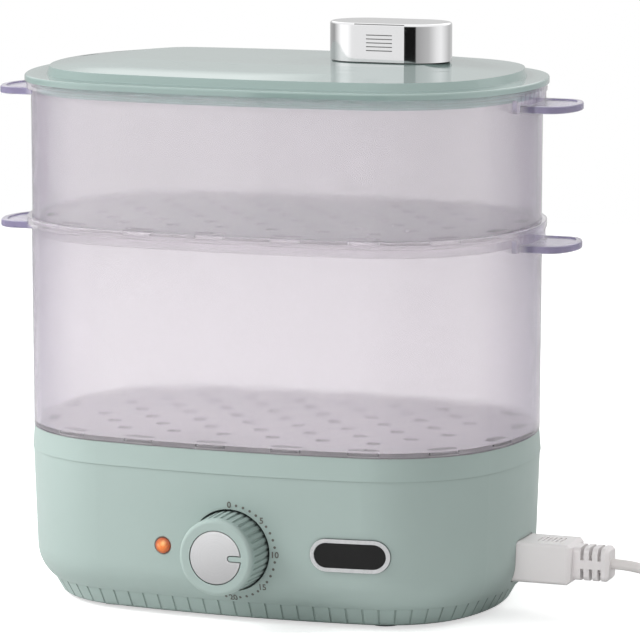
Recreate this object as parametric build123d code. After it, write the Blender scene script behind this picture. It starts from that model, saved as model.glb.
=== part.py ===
from build123d import *

import math
import os

# Electric food steamer with two stacked tiers, a lid, a dial timer and a plug-in mains lead.
# Millimetres. +X is the appliance's right end, where the lead plugs in, the dial faces -Y,
# and +Z is up. The origin is on the table, under the middle of the appliance.

# ---- plan outline, shared by every storey: eight tangent arcs
half_length = 108.0
half_depth = 73.35
corner_radius = 54.0
end_radius = 100.0
side_radius = 443.0

# ---- storeys, from the table up
foot_stand = 1.5
band_height = 7.8
shell_height = 54.4
collar_height = 9.5
lower_wall_height = 86.6
upper_wall_height = 57.3

# ---- clearances
fit_gap = 0.3
snap_gap = 0.1
running_gap = 0.05

# ---- base shell
shell_wall = 2.4
shell_draft = 2.0
shell_top_inset = 0.3
shell_turn = 17.0
shell_turn_cut = 4.0
shell_lip = 4.0

# ---- bottom cover with its fluted band
band_step = 0.6
band_slope = 4.4
band_wall = 3.0
band_edge_round = 3.0
flute_pitch = 6.9
flute_radius = 0.45
cover_floor = 2.0
cover_spigot = 1.6
screw_pad_radius = 6.0
screw_pad_height = 5.0
boss_inset = 30.0
boss_y = 22.0
boss_radius = 4.0
foot_inset_x = 48.1
foot_inset_y = 30.35
foot_radius = 7.0
foot_seat_depth = 1.0

# ---- water tank
collar_taper = 0.7
nest_ledge_gap = 0.3
tank_wall = 2.0
tank_floor = 2.0
tank_depth = 13.9
tank_round = 6.0
tray_post_radius = 2.0
tray_post_height = 8.0
tray_post_count = 6

# ---- heater
plate_opening_radius = 38.0
plate_flange_radius = 43.0
plate_dish_radius = 37.0
plate_thickness = 1.2
plate_drop = 1.8
seal_thickness = 1.0
stud_radius = 3.0
stud_circle = 33.0
clamp_inner = 30.0
clamp_outer = 44.0
clamp_thickness = 1.5
element_ring_radius = 25.0
element_tube_radius = 3.2
element_gap_angle = 60.0
element_leg = 11.0
element_pin_radius = 1.2
element_pin_length = 5.0
thermostat_radius = 8.0
thermostat_height = 8.0
strap_width = 10.0
strap_thickness = 1.0
strap_reach = 38.0
strap_step_x = 30.0
strap_screw_x = 34.5
fuse_radius = 2.0
fuse_length = 10.0
fuse_x = 14.0

# ---- timer and dial
dial_x = 2.2
dial_z = 31.9
well_radius = 17.3
well_wall = 1.5
well_sink = 6.85
well_floor = 2.0
timer_half_width = 21.5
timer_half_height = 16.5
timer_depth = 20.5
timer_plate_thickness = 1.0
timer_wall = 1.5
bell_radius = 15.0
bell_depth = 5.0
bell_wall = 0.8
terminal_reach = 6.0
terminal_width = 5.0
terminal_thickness = 0.8
knob_radius = 16.6
knob_face_radius = 15.9
knob_stand = 15.0
knob_back_gap = 0.5
knob_edge_round = 1.8
knob_ribs = 36
rib_groove_radius = 0.75
knob_shell = 2.6
knob_face = 3.4
knob_hub_radius = 5.2
disc_radius = 10.95
disc_thickness = 1.3
disc_recess = 1.1
pointer_width = 2.0
pointer_length = 5.3
shaft_radius = 3.0
shaft_flat = 2.2
shaft_front_depth = 4.5
shaft_pivot_radius = 2.0
gear_module = 0.6
gear_teeth = 36
pinion_teeth = 12
gear_thickness = 2.0
gear_sink = 9.5
escape_radius = 5.0
escape_teeth = 15
arbor_radius = 0.9
barrel_radius = 9.5
barrel_depth = 7.0
spring_turns = 4
spring_thickness = 0.4

# ---- pilot lamp
lamp_x = -27.9
lamp_z = 31.65
lens_radius = 3.2
lens_flange_radius = 4.6
lens_dome = 1.2
lamp_sleeve_radius = 6.4
lamp_sleeve_depth = 11.0
neon_radius = 2.5
neon_length = 10.0

# ---- badge
badge_x = 53.4
badge_z = 32.65
badge_length = 32.9
badge_height = 13.7
badge_rim = 1.65
badge_sink = 0.4
badge_proud = 0.9
inlay_proud = 0.45

# ---- mains inlet and connector
plug_z = 22.75
plug_width = 21.6
plug_height = 16.95
inlet_inset = 9.0
inlet_pad_half = 19.8
inlet_screw_y = 16.3
socket_depth = 13.0
socket_back_wall = 3.0
socket_wall = 2.0
socket_flange = 2.5
socket_ear = 3.2
plug_gap = 0.4
pin_radius = 2.0
pin_spacing = 9.5
pin_reach = 12.0
pin_tail = 6.0
contact_wall = 0.4
plug_stand = 29.9
plug_nose_gap = 0.8
boot_length = 15.1
boot_width = 12.0
boot_height = 14.1
boot_collar = 3.1
boot_slot = 1.4
boot_pitch = 3.7
boot_slots = 3
boot_web = 3.6
grip_count = 6
grip_pitch = 1.9
grip_width = 9.0

# ---- mains lead
lead_radius = 2.2
coil_mean_radius = 24.0
coil_distance = 84.0
coil_y = 21.9
stub_length = 20.0
mains_plug_length = 24.0
mains_plug_width = 21.0
mains_plug_height = 14.0
mains_boot_length = 20.0
blade_length = 17.5
blade_width = 6.35
blade_thickness = 1.5
blade_spacing = 12.7

# ---- tiers
tier_wall = 2.0
tier_floor = 2.0
tier_inset = 0.5
tier_draft = 0.25
skirt_wall = 1.8
skirt_depth = 5.0
lip_height = 2.0
rim_height = 3.1
lower_rim_reach = 1.8
upper_rim_reach = 1.6
tab_reach = 20.6
tab_drop = 7.1
tab_thickness = 3.2
tab_half_width = 17.5
tab_nose_radius = 29.5
tab_corner = 9.0
tab_recess = 0.5
tab_border = 2.6
apron_half_width = 20.0
slot_pitch = 32.5
slot_length = 13.0
slot_width = 5.0
slot_inset = 9.0
drain_radius = 3.0
drain_pitch_x = 22.0
drain_pitch_y = 15.0
drain_margin = 20.0

# ---- drip tray
tray_inset = 5.6
tray_wall = 1.5
tray_height = 7.5
duct_length = 60.0
duct_width = 22.0
duct_wall = 1.4

# ---- lid and its handle
flange_reach = 2.4
flange_height = 2.6
flange_round = 0.9
deck_base_inset = 8.2
deck_top_inset = 10.4
deck_height = 3.3
deck_margin = 32.0
deck_crown = 3.6
deck_wall = 2.2
lid_skirt_depth = 4.5
lid_skirt_wall = 1.8
vent_width = 2.5
vents = [(14.5, 9.0, 10.0, 68.0), (25.0, 23.0, 12.0, 0.0), (38.5, 26.0, 4.5, 0.0)]
handle_inset = 61.7
handle_length = 51.8
handle_width = 30.0
handle_height = 15.9
handle_wall = 1.6
handle_round = 1.0
gasket_thickness = 0.4
gasket_inset = 0.8
handle_boss_offset = 13.0
handle_boss_radius = 3.6
engraved_lines = 5
engraved_pitch = 1.6
engraved_length = 11.3
engraved_width = 0.4
engraved_depth = 0.35

# ---- screws: head radius, head height, shank radius
cover_screw = (3.2, 2.0, 1.5)
small_screw = (2.4, 1.5, 1.1)

wire_radius = 1.0

# ---- heights worked out from the storeys
band_low = foot_stand
band_top = band_low + band_height
seam_z = band_top + shell_height
collar_top = seam_z + collar_height
lower_top = collar_top + lower_wall_height
lower_rim = lower_top + lip_height
upper_top = lower_top + upper_wall_height
upper_rim = upper_top + lip_height
flange_top = upper_rim + flange_height
deck_edge = flange_top + deck_height
deck_top = deck_edge + deck_crown

# ---- growths of the outline worked out from the walls
tier_spread = math.tan(math.radians(tier_draft))
lower_top_grow = -tier_inset + tier_spread * lower_wall_height
upper_top_grow = -tier_inset + tier_spread * upper_wall_height
socket_grow = lower_top_grow - tier_wall
skirt_grow = socket_grow - fit_gap
shell_inner_top = -shell_top_inset - shell_wall
tank_outer_grow = shell_inner_top - fit_gap
tank_inner_grow = tank_outer_grow - tank_wall
ledge_z = collar_top - skirt_depth - nest_ledge_gap
tank_floor_top = ledge_z - tank_depth
tank_underside = tank_floor_top - tank_floor
turn_bottom = band_top - shell_turn_cut
turn_centre_drop = shell_turn - shell_turn_cut
turn_inset = shell_turn - math.sqrt(shell_turn**2 - turn_centre_drop**2)
shell_slope = math.tan(math.radians(shell_draft))
shell_edge_grow = -shell_top_inset - shell_slope * (seam_z - turn_bottom - shell_turn) - turn_inset
band_grow = shell_edge_grow - band_step

# ---- heater heights
plate_flange_z = tank_floor_top + seal_thickness
dish_floor_z = plate_flange_z - plate_drop
clamp_z = tank_underside - clamp_thickness
element_z = dish_floor_z - element_tube_radius - running_gap
thermostat_z = dish_floor_z - thermostat_height

# ---- places along X, from the ends
boss_x = half_length - boss_inset
foot_x = half_length - foot_inset_x
foot_y = half_depth - foot_inset_y
handle_x = half_length - handle_inset
inlet_pad_x = half_length - inlet_inset
socket_back_x = inlet_pad_x - socket_depth
plug_block_end = inlet_pad_x + plug_stand
boot_end = plug_block_end + boot_length
coil_x = boot_end + coil_distance

# ---- timer stations along Y
well_floor_y = well_sink - half_depth
knob_front_y = -half_depth - knob_stand
gear_y = well_floor_y + gear_sink
well_back_y = well_floor_y + well_floor
case_front_y = well_back_y + timer_plate_thickness
case_back_y = case_front_y + timer_depth
knob_back_y = well_floor_y - knob_back_gap
arbor_distance = gear_module * (gear_teeth + pinion_teeth) / 2

# The dial stands further forward than the rims reach back, so this shift along Y puts the
# origin under the middle of the whole appliance.
centre_shift = (-knob_front_y - half_depth - max(flange_reach, lower_rim_reach)) / 2


# =============================================================== outline geometry
def corner_centre():
    """Centre of the front right corner arc, which touches the side arc and the end arc inside."""
    side_y = side_radius - half_depth
    end_x = half_length - end_radius
    to_side = side_radius - corner_radius
    to_end = end_radius - corner_radius
    gap = math.hypot(end_x, side_y)
    along = (to_side**2 - to_end**2 + gap**2) / (2 * gap)
    aside = math.sqrt(to_side**2 - along**2)
    ux, uy = end_x / gap, -side_y / gap
    return along * ux - aside * uy, side_y + along * uy + aside * ux


def outline_arcs(grow=0.0):
    """The outline's arcs, anticlockwise from the front: centre x, y, radius, start and end angle."""
    cx, cy = corner_centre()
    side_y = side_radius - half_depth
    end_x = half_length - end_radius
    side_turn = math.atan2(cy - side_y, cx)
    end_turn = math.atan2(cy, cx - end_x)
    side_r, corner_r, end_r = side_radius + grow, corner_radius + grow, end_radius + grow
    half = math.pi
    return [
        (0, side_y, side_r, -half - side_turn, side_turn),
        (cx, cy, corner_r, side_turn, end_turn),
        (end_x, 0, end_r, end_turn, -end_turn),
        (cx, -cy, corner_r, -end_turn, -side_turn),
        (0, -side_y, side_r, -side_turn, half + side_turn),
        (-cx, -cy, corner_r, half + side_turn, half + end_turn),
        (-end_x, 0, end_r, half + end_turn, half - end_turn),
        (-cx, cy, corner_r, half - end_turn, half - side_turn),
    ]


def outline(grow=0.0):
    """Face of the plan outline, grown outward by grow."""
    edges = []
    for x, y, radius, start, end in outline_arcs(grow):
        angles = (start, (start + end) / 2, end)
        edges.append(
            ThreePointArc(*[(x + radius * math.cos(t), y + radius * math.sin(t)) for t in angles])
        )
    return make_face(edges)


def stations(count, grow):
    """Evenly spaced places round the outline: x, y and the outward direction's angle."""
    arcs = outline_arcs(grow)
    lengths = [radius * (end - start) for _, _, radius, start, end in arcs]
    step = sum(lengths) / count
    places = []
    for k in range(count):
        along = (k + 0.5) * step
        for (x, y, radius, start, _), length in zip(arcs, lengths, strict=True):
            if along <= length:
                angle = start + along / radius
                places.append((x + radius * math.cos(angle), y + radius * math.sin(angle), angle))
                break
            along -= length
    return places


def perimeter(grow):
    return sum(radius * (end - start) for _, _, radius, start, end in outline_arcs(grow))


def half_depth_at(x, grow):
    """Half depth of the grown outline at a distance x from the middle."""
    front, corner, right = outline_arcs(grow)[:3]
    x = abs(x)
    for cx, cy, radius, _, end in (front, corner, right):
        if x <= cx + radius * math.cos(end) or (cx, cy) == right[:2]:
            inside = radius**2 - (x - cx) ** 2
            return -(cy - math.sqrt(inside)) if inside > 0 else 0.0


def block(low, high, grow, draft=0.0):
    """Solid on the outline from low to high, grow at its foot, narrowing upward by draft degrees."""
    return extrude(Pos(0, 0, low) * outline(grow), amount=high - low, taper=draft)


def ring(low, high, outer, inner):
    return block(low, high, outer) - block(low, high, inner)


# =============================================================== small helpers
def rod(radius, start, end):
    """Cylinder between two points."""
    a, b = Vector(*start), Vector(*end)
    face = Plane(origin=a, z_dir=b - a) * Circle(radius)
    return extrude(face, amount=(b - a).length)


def disc_y(x, z, radius, front, back):
    """Cylinder along Y, from front to back."""
    return rod(radius, (x, front, z), (x, back, z))


def box(x, y, z):
    """Box from three (low, high) pairs."""
    size = [high - low for low, high in (x, y, z)]
    centre = [(high + low) / 2 for low, high in (x, y, z)]
    return Pos(*centre) * Box(*size)


def revolved_y(x, z, profile):
    """Solid turned about the line along Y through x, z, from (radius, y) points."""
    face = make_face(Polyline(*[(r, y, 0) for r, y in profile], close=True))
    return Pos(x, 0, z) * revolve(face, Axis.Y, 360)


def revolved_z(profile):
    face = make_face(Polyline(*[(r, 0, z) for r, z in profile], close=True))
    return revolve(face, Axis.Z, 360)


def screw(kind, length):
    """Pan-head screw with a cross recess: head above z 0, shank below."""
    head_radius, head_height, shank_radius = kind
    head = Pos(0, 0, head_height / 2) * Cylinder(head_radius, head_height)
    head = fillet(head.faces().sort_by(Axis.Z)[-1].edges(), head_height * 0.45)
    cross = Box(head_radius, head_radius * 0.28, head_height)
    cross += Box(head_radius * 0.28, head_radius, head_height)
    shank = Pos(0, 0, -length / 2) * Cylinder(shank_radius, length)
    tip = shank.faces().sort_by(Axis.Z)[0].edges()
    return head + chamfer(tip, shank_radius * 0.4) - Pos(0, 0, head_height) * cross


def upward(x, y, z, shape):
    """A screw placed with its head's seat at z, driven upward."""
    return Pos(x, y, z) * Rot(180, 0, 0) * shape


def tube(points, radius, name):
    """Round tube along straight runs joined by arcs as large as their two runs allow."""
    runs = [Vector(*b) - Vector(*a) for a, b in zip(points, points[1:])]
    radii = []
    for before, after in zip(runs, runs[1:]):
        turn = math.radians(before.get_angle(after))
        radii.append(0.45 * min(before.length, after.length) / math.tan(turn / 2))
    path = FilletPolyline(*points, radius=radii)
    body = sweep(Plane(origin=points[0], z_dir=runs[0]) * Circle(radius), path=path)
    expected = math.pi * radius**2 * path.length
    print(name, "length", round(path.length, 1), "radii", [round(r, 1) for r in radii],
          "volume share", round(body.volume / expected, 4))
    return body


def save(name, *shapes):
    """Writes one node, shifted so that the origin is under the middle of the appliance."""
    solids = [Pos(0, centre_shift, 0) * solid for shape in shapes for solid in shape.solids()]
    whole = solids[0] if len(solids) == 1 else Compound(children=solids)
    export_step(whole, os.path.join("parts", name + ".step"))


# =============================================================== base
def shell_block(grow):
    """The base shell's outer form, grown by grow: slightly drafted, its lower edge turned under."""
    height = seam_z - turn_bottom
    foot_grow = -shell_top_inset + grow - shell_slope * height
    body = block(turn_bottom - grow, seam_z, foot_grow - shell_slope * grow, -shell_draft)
    edge = body.faces().sort_by(Axis.Z)[0].edges()
    return fillet(edge, shell_turn + grow)


def drafted_skin(grow):
    """The drafted part of the shell's outer surface as a block, for what lies on it."""
    height = seam_z - turn_bottom
    return block(turn_bottom, seam_z, -shell_top_inset + grow - shell_slope * height, -shell_draft)


def plug_section(gap, start, end):
    """Rounded block of the connector's section, from start to end along X."""
    half_w, half_h = plug_width / 2 + gap, plug_height / 2 + gap
    body = box((start, end), (-half_w, half_w), (plug_z - half_h, plug_z + half_h))
    return fillet(body.edges().filter_by(Axis.X), 1.6 + gap)


def stadium_y(x, z, length, height, front, back):
    """Prism of a lying stadium, seen from the front, between two Y stations."""
    face = Plane.XZ.offset(-back) * Pos(x, z) * SlotOverall(length, height)
    return extrude(face, amount=back - front)


def make_base_shell():
    outer = shell_block(0)
    low = box((-half_length, half_length), (-half_depth, half_depth), (0, band_top))
    body = outer - shell_block(-shell_wall)
    body -= block(0, seam_z, shell_edge_grow - shell_lip)
    cup = disc_y(dial_x, dial_z, well_radius + well_wall, -half_depth, well_back_y)
    sleeve = disc_y(lamp_x, lamp_z, lamp_sleeve_radius, -half_depth, sleeve_back_y())
    pad = box((inlet_pad_x, half_length), (-inlet_pad_half, inlet_pad_half),
              (band_top, plug_z + plug_height / 2 + 6))
    body += (cup & outer) + (sleeve & outer) + (pad & outer)
    body -= low
    body -= disc_y(dial_x, dial_z, well_radius, -half_depth - 1, well_floor_y)
    body -= disc_y(dial_x, dial_z, shaft_radius + 2 * fit_gap, -half_depth, well_back_y + 1)
    for x, z in timer_screw_places():
        body -= disc_y(x, z, small_screw[2] + snap_gap, -half_depth, well_back_y + 1)
    body -= disc_y(lamp_x, lamp_z, lens_radius + snap_gap, -half_depth - 1, lens_seat_y() + 1)
    body -= disc_y(lamp_x, lamp_z, lens_flange_radius + snap_gap, lens_seat_y(), sleeve_back_y() + 1)
    body -= revolved_y(lamp_x, lamp_z, [(0, bezel_y() - 2), (lens_radius + 2.8, bezel_y() - 2),
                                        (lens_radius, bezel_y() + 0.8), (0, bezel_y() + 0.8)])
    body -= plug_section(plug_gap, inlet_pad_x - 1, half_length + 5)
    body -= socket_form(snap_gap)
    for y in (-inlet_screw_y, inlet_screw_y):
        body -= rod(small_screw[2] + snap_gap, (inlet_pad_x - 1, y, plug_z),
                    (inlet_pad_x + 4.5, y, plug_z))
    pocket = stadium_y(badge_x, badge_z, badge_length + 2 * snap_gap, badge_height + 2 * snap_gap,
                       -half_depth - 2, -half_depth / 2)
    body -= pocket - drafted_skin(-badge_sink)
    return body


def skin_y(x, z):
    """Front surface of the drafted shell at x, z."""
    grow = -shell_top_inset - shell_slope * (seam_z - z)
    return -half_depth_at(x, grow)


def lens_seat_y():
    return skin_y(lamp_x, lamp_z) + shell_wall


def bezel_y():
    return skin_y(lamp_x, lamp_z)


def sleeve_back_y():
    return lens_seat_y() + lamp_sleeve_depth


def make_bottom_cover():
    band = block(band_low, band_top, band_grow - band_slope,
                 -math.degrees(math.atan(band_slope / band_height)))
    band = fillet(band.faces().sort_by(Axis.Z)[0].edges(), band_edge_round)
    spigot_grow = shell_edge_grow - shell_lip - fit_gap
    hollow_grow = min(band_grow - band_slope - band_wall, spigot_grow - 2.0)
    body = band + block(band_top - 1, band_top + cover_spigot, spigot_grow)
    body -= block(band_low + cover_floor, band_top + cover_spigot + 1, hollow_grow)
    flutes = []
    for x, y, angle in stations(round(perimeter(band_grow) / flute_pitch), band_grow):
        out_x, out_y = math.cos(angle), math.sin(angle)
        lean = band_slope / band_height
        flutes.append(rod(flute_radius,
                          (x - out_x * lean * (band_height + 1), y - out_y * lean * (band_height + 1),
                           band_low - 1),
                          (x + out_x * lean * 1, y + out_y * lean * 1, band_top + 1)))
    body -= flutes
    for x, y in corners(boss_x, boss_y):
        body += Pos(x, y, band_low + screw_pad_height / 2) * Cylinder(screw_pad_radius, screw_pad_height)
        recess = band_low + screw_pad_height - cover_floor
        body -= rod(cover_screw[0] + 2 * fit_gap, (x, y, 0), (x, y, recess))
        body -= rod(cover_screw[2] + snap_gap, (x, y, 0), (x, y, band_low + screw_pad_height + 1))
    for x, y in corners(foot_x, foot_y):
        body -= rod(foot_radius, (x, y, 0), (x, y, band_low + foot_seat_depth))
    return body


def corners(x, y):
    return [(-x, -y), (x, -y), (x, y), (-x, y)]


def make_feet():
    feet = []
    for x, y in corners(foot_x, foot_y):
        foot = rod(foot_radius, (x, y, 0), (x, y, band_low + foot_seat_depth))
        feet.append(chamfer(foot.faces().sort_by(Axis.Z)[0].edges(), 0.6))
    return feet


def make_cover_screws():
    seat = band_low + screw_pad_height - cover_floor
    shape = screw(cover_screw, cover_floor + 12)
    return [upward(x, y, seat, shape) for x, y in corners(boss_x, boss_y)]


def make_water_tank():
    slope = math.degrees(math.atan(collar_taper / collar_height))
    body = block(seam_z, collar_top, 0.0, slope)
    bowl = block(tank_underside, seam_z, tank_outer_grow)
    bowl = fillet(bowl.faces().sort_by(Axis.Z)[0].edges(), tank_round + tank_wall)
    body += bowl
    body -= block(ledge_z, collar_top + 1, socket_grow)
    basin = block(tank_floor_top, ledge_z + 0.5, tank_inner_grow)
    body -= fillet(basin.faces().sort_by(Axis.Z)[0].edges(), tank_round)
    for x, y, angle in stations(tray_post_count, tank_inner_grow):
        px, py = x - math.cos(angle) * 1.5, y - math.sin(angle) * 1.5
        body += rod(tray_post_radius, (px, py, tank_floor_top - 1),
                    (px, py, tank_floor_top + tray_post_height))
    body -= rod(plate_opening_radius, (0, 0, tank_underside - 1), (0, 0, tank_floor_top + 1))
    pad_top = band_low + screw_pad_height
    for x, y in corners(boss_x, boss_y):
        body += rod(boss_radius, (x, y, pad_top), (x, y, tank_floor_top - tank_floor / 2))
        body -= rod(cover_screw[2] + snap_gap, (x, y, pad_top - 1), (x, y, pad_top + 14))
    return body


def make_heating_plate():
    rim, dish = plate_flange_radius, plate_dish_radius
    low, thick = dish_floor_z, plate_thickness
    body = revolved_z([(0, low), (dish, low), (dish, plate_flange_z), (rim, plate_flange_z),
                       (rim, plate_flange_z + thick), (dish - thick, plate_flange_z + thick),
                       (dish - thick, low + thick), (0, low + thick)])
    for x, y in stud_places():
        body += rod(stud_radius, (x, y, tank_underside), (x, y, low + thick / 2))
        body -= rod(small_screw[2] + snap_gap, (x, y, tank_underside - 1), (x, y, low + 0.7))
    return body


def stud_places():
    angles = [math.radians(a) for a in (90, 210, 330)]
    return [(stud_circle * math.cos(a), stud_circle * math.sin(a)) for a in angles]


def make_plate_seal():
    return revolved_z([(plate_opening_radius, tank_floor_top), (plate_flange_radius, tank_floor_top),
                       (plate_flange_radius, plate_flange_z), (plate_opening_radius, plate_flange_z)])


def make_plate_clamp():
    body = revolved_z([(clamp_inner, clamp_z), (clamp_outer, clamp_z),
                       (clamp_outer, tank_underside), (clamp_inner, tank_underside)])
    for x, y in stud_places():
        body -= rod(small_screw[2] + snap_gap, (x, y, clamp_z - 1), (x, y, tank_underside + 1))
    for x in (-strap_screw_x, strap_screw_x):
        body -= rod(small_screw[2] + snap_gap, (x, 0, clamp_z - 1), (x, 0, tank_underside + 1))
    return body


def make_clamp_screws():
    shape = screw(small_screw, dish_floor_z + 0.5 - clamp_z)
    return [upward(x, y, clamp_z, shape) for x, y in stud_places()]


def element_ends():
    half = math.radians(element_gap_angle / 2)
    return [(element_ring_radius * math.cos(half), side * element_ring_radius * math.sin(half))
            for side in (-1, 1)]


def make_heating_element():
    (x, y), other = element_ends()
    start = Plane(origin=(x, y, element_z), z_dir=(-y, x, 0)) * Circle(element_tube_radius)
    body = revolve(start, Axis.Z, -(360 - element_gap_angle))
    for ex, ey in ((x, y), other):
        body += Pos(ex, ey, element_z) * Sphere(element_tube_radius)
        body += rod(element_tube_radius, (ex, ey, element_z - element_leg), (ex, ey, element_z))
        body += rod(element_pin_radius, (ex, ey, pin_end_z()), (ex, ey, element_z))
    return body


def pin_end_z():
    return element_z - element_leg - element_pin_length


def make_thermostat():
    body = rod(thermostat_radius, (0, 0, thermostat_z), (0, 0, dish_floor_z))
    tab_z = thermostat_z + 2.5
    for side in (-1, 1):
        ends = sorted((side * (thermostat_radius - 2), side * (thermostat_radius + 6)))
        body += box((-2.4, 2.4), ends, (tab_z, tab_z + terminal_thickness))
    return body


def make_strap():
    low = thermostat_z - strap_thickness
    half = strap_width / 2
    body = box((-strap_step_x, strap_step_x), (-half, half), (low, thermostat_z))
    for side in (-1, 1):
        riser = sorted((side * (strap_step_x - strap_thickness), side * strap_step_x))
        pad = sorted((side * (strap_step_x - strap_thickness), side * strap_reach))
        body += box(riser, (-half, half), (low, clamp_z))
        body += box(pad, (-half, half), (clamp_z - strap_thickness, clamp_z))
        body -= rod(small_screw[2] + snap_gap, (side * strap_screw_x, 0, low),
                    (side * strap_screw_x, 0, clamp_z + 1))
    return body


def make_strap_screws():
    seat = clamp_z - strap_thickness
    shape = screw(small_screw, strap_thickness + clamp_thickness)
    return [upward(x, 0, seat, shape) for x in (-strap_screw_x, strap_screw_x)]


def make_thermal_fuse():
    z = thermostat_z + fuse_radius
    half = fuse_length / 2
    return rod(fuse_radius, (fuse_x, -half, z), (fuse_x, half, z))


# =============================================================== timer
def timer_screw_places():
    reach = 9.5 * math.sqrt(0.5)
    return [(dial_x + reach, dial_z - reach), (dial_x - reach, dial_z + reach)]


def arbor_place():
    return dial_x - arbor_distance, dial_z


def make_timer_plate():
    x, z = (dial_x - timer_half_width, dial_x + timer_half_width), \
        (dial_z - timer_half_height, dial_z + timer_half_height)
    body = box(x, (well_back_y, case_front_y), z)
    for sx, sz in timer_screw_places():
        body += disc_y(sx, sz, 2.4, well_back_y + 0.5, case_front_y + 2)
        body -= disc_y(sx, sz, small_screw[2] + snap_gap, well_back_y - 1, case_front_y + 1.5)
    body -= disc_y(dial_x, dial_z, shaft_radius + running_gap, well_back_y - 1, case_front_y + 1)
    ax, az = arbor_place()
    body -= disc_y(ax, az, arbor_radius + running_gap, well_back_y + 0.2, case_front_y + 1)
    return body


def make_timer_case():
    x = (dial_x - timer_half_width, dial_x + timer_half_width)
    z = (dial_z - timer_half_height, dial_z + timer_half_height)
    outer = box(x, (case_front_y, case_back_y), z)
    inner = box([x[0] + timer_wall, x[1] - timer_wall], (case_front_y - 1, case_back_y - timer_wall),
                [z[0] + timer_wall, z[1] - timer_wall])
    body = fillet(outer.edges().filter_by(Axis.Y), 2.0) - inner
    body -= disc_y(dial_x, dial_z, shaft_pivot_radius + running_gap, case_back_y - 3, case_back_y + 1)
    ax, az = arbor_place()
    body -= disc_y(ax, az, arbor_radius + running_gap, case_back_y - 3, case_back_y + 1)
    return body


def terminal_places():
    """Free end of each terminal tab, and the direction it points along X."""
    right, left = dial_x + timer_half_width, dial_x - timer_half_width
    return [(right, case_front_y + 6, dial_z, 1), (right, case_front_y + 14, dial_z, 1),
            (left, case_front_y + 12, dial_z - 6, -1)]


def make_terminals():
    tabs = []
    for x, y, z, side in terminal_places():
        span = sorted((x, x + side * terminal_reach))
        half = terminal_width / 2
        tabs.append(box(span, (y - half, y + half), (z, z + terminal_thickness)))
    return tabs


def make_bell():
    back = case_back_y + bell_depth
    inner = bell_radius - bell_wall
    return revolved_y(dial_x, dial_z, [
        (0, case_back_y), (shaft_pivot_radius + 1, case_back_y),
        (shaft_pivot_radius + 1, back - bell_wall), (inner, back - bell_wall),
        (inner, case_back_y + 1.5), (bell_radius, case_back_y + 1.5), (bell_radius, back - 1),
        (bell_radius - 1, back), (0, back)])


def make_timer_screws():
    length = case_front_y + 1.2 - well_floor_y
    return [Pos(x, well_floor_y, z) * Rot(90, 0, 0) * screw(small_screw, length)
            for x, z in timer_screw_places()]


def make_knob():
    front, back = knob_front_y, knob_back_y
    profile = [(0, front), (knob_face_radius, front), (knob_radius, back), (0, back)]
    body = revolved_y(dial_x, dial_z, profile)
    body = fillet(body.edges().group_by(Axis.Y)[0], knob_edge_round)
    lean = (knob_radius - knob_face_radius) / (back - front)
    grooves = []
    for k in range(knob_ribs):
        angle = 2 * math.pi * (k + 0.5) / knob_ribs
        radial = (math.cos(angle), math.sin(angle))
        near = knob_face_radius + lean * 3.2 + 0.25
        far = knob_radius + lean * 1 + 0.25
        grooves.append(rod(rib_groove_radius,
                           (dial_x + near * radial[0], front + 3.2, dial_z + near * radial[1]),
                           (dial_x + far * radial[0], back + 1, dial_z + far * radial[1])))
    body -= grooves
    inside = knob_face_radius - knob_shell
    body -= disc_y(dial_x, dial_z, inside, front + knob_face, back + 1) \
        - disc_y(dial_x, dial_z, knob_hub_radius, front, back - 1)
    body -= d_shaft(shaft_radius + running_gap, shaft_flat + running_gap,
                    front + shaft_front_depth - running_gap, back + 1)
    recess = disc_y(dial_x, dial_z, disc_radius + fit_gap + 0.05, front - 1, front + disc_recess)
    body -= recess - pointer_tongue(0.0, front - 2, front + disc_recess)
    return body


def pointer_tongue(gap, front, back):
    """Tongue of the pointer, from the disc's rim inward, pointing to +X."""
    tip = dial_x + disc_radius - pointer_length + pointer_width / 2
    half = pointer_width / 2 + gap
    bar = box((tip, dial_x + disc_radius + 4), (front, back), (dial_z - half, dial_z + half))
    return bar + disc_y(tip, dial_z, half, front, back)


def make_disc():
    front = knob_front_y + disc_recess - disc_thickness
    body = disc_y(dial_x, dial_z, disc_radius, front, knob_front_y + disc_recess)
    body -= pointer_tongue(fit_gap + 0.05, front - 1, knob_front_y + disc_recess + 1)
    return chamfer(body.faces().sort_by(Axis.Y)[0].edges(), 0.2)


def d_shaft(radius, flat, front, back):
    body = disc_y(dial_x, dial_z, radius, front, back)
    return body - box((dial_x - radius, dial_x + radius), (front, back), (dial_z + flat, dial_z + radius))


def make_shaft():
    body = d_shaft(shaft_radius, shaft_flat, knob_front_y + shaft_front_depth, well_floor_y - 1)
    body += disc_y(dial_x, dial_z, shaft_radius, well_floor_y - 1, case_back_y - timer_wall - 0.3)
    return body + disc_y(dial_x, dial_z, shaft_pivot_radius, case_back_y - timer_wall - 1,
                         case_back_y - 0.2)


def gear(x, z, teeth, phase, front):
    """Spur gear along Y. A tooth's middle is at angle phase, in degrees from +X towards +Z."""
    pitch = gear_module * teeth / 2
    tip, root = pitch + 0.85 * gear_module, pitch - 1.25 * gear_module
    step = 2 * math.pi / teeth
    points = []
    for k in range(teeth):
        middle = math.radians(phase) + k * step
        for radius, share in ((root, -0.3), (tip, -0.11), (tip, 0.11), (root, 0.3)):
            angle = middle + share * step
            points.append((x + radius * math.cos(angle), front, z + radius * math.sin(angle)))
    face = make_face(Polyline(*points, close=True))
    return extrude(face, amount=gear_thickness, dir=(0, 1, 0))


def make_main_gear():
    body = gear(dial_x, dial_z, gear_teeth, 180.0 / gear_teeth, gear_y)
    return body - disc_y(dial_x, dial_z, shaft_radius + running_gap, gear_y - 1, gear_y + 5)


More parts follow.
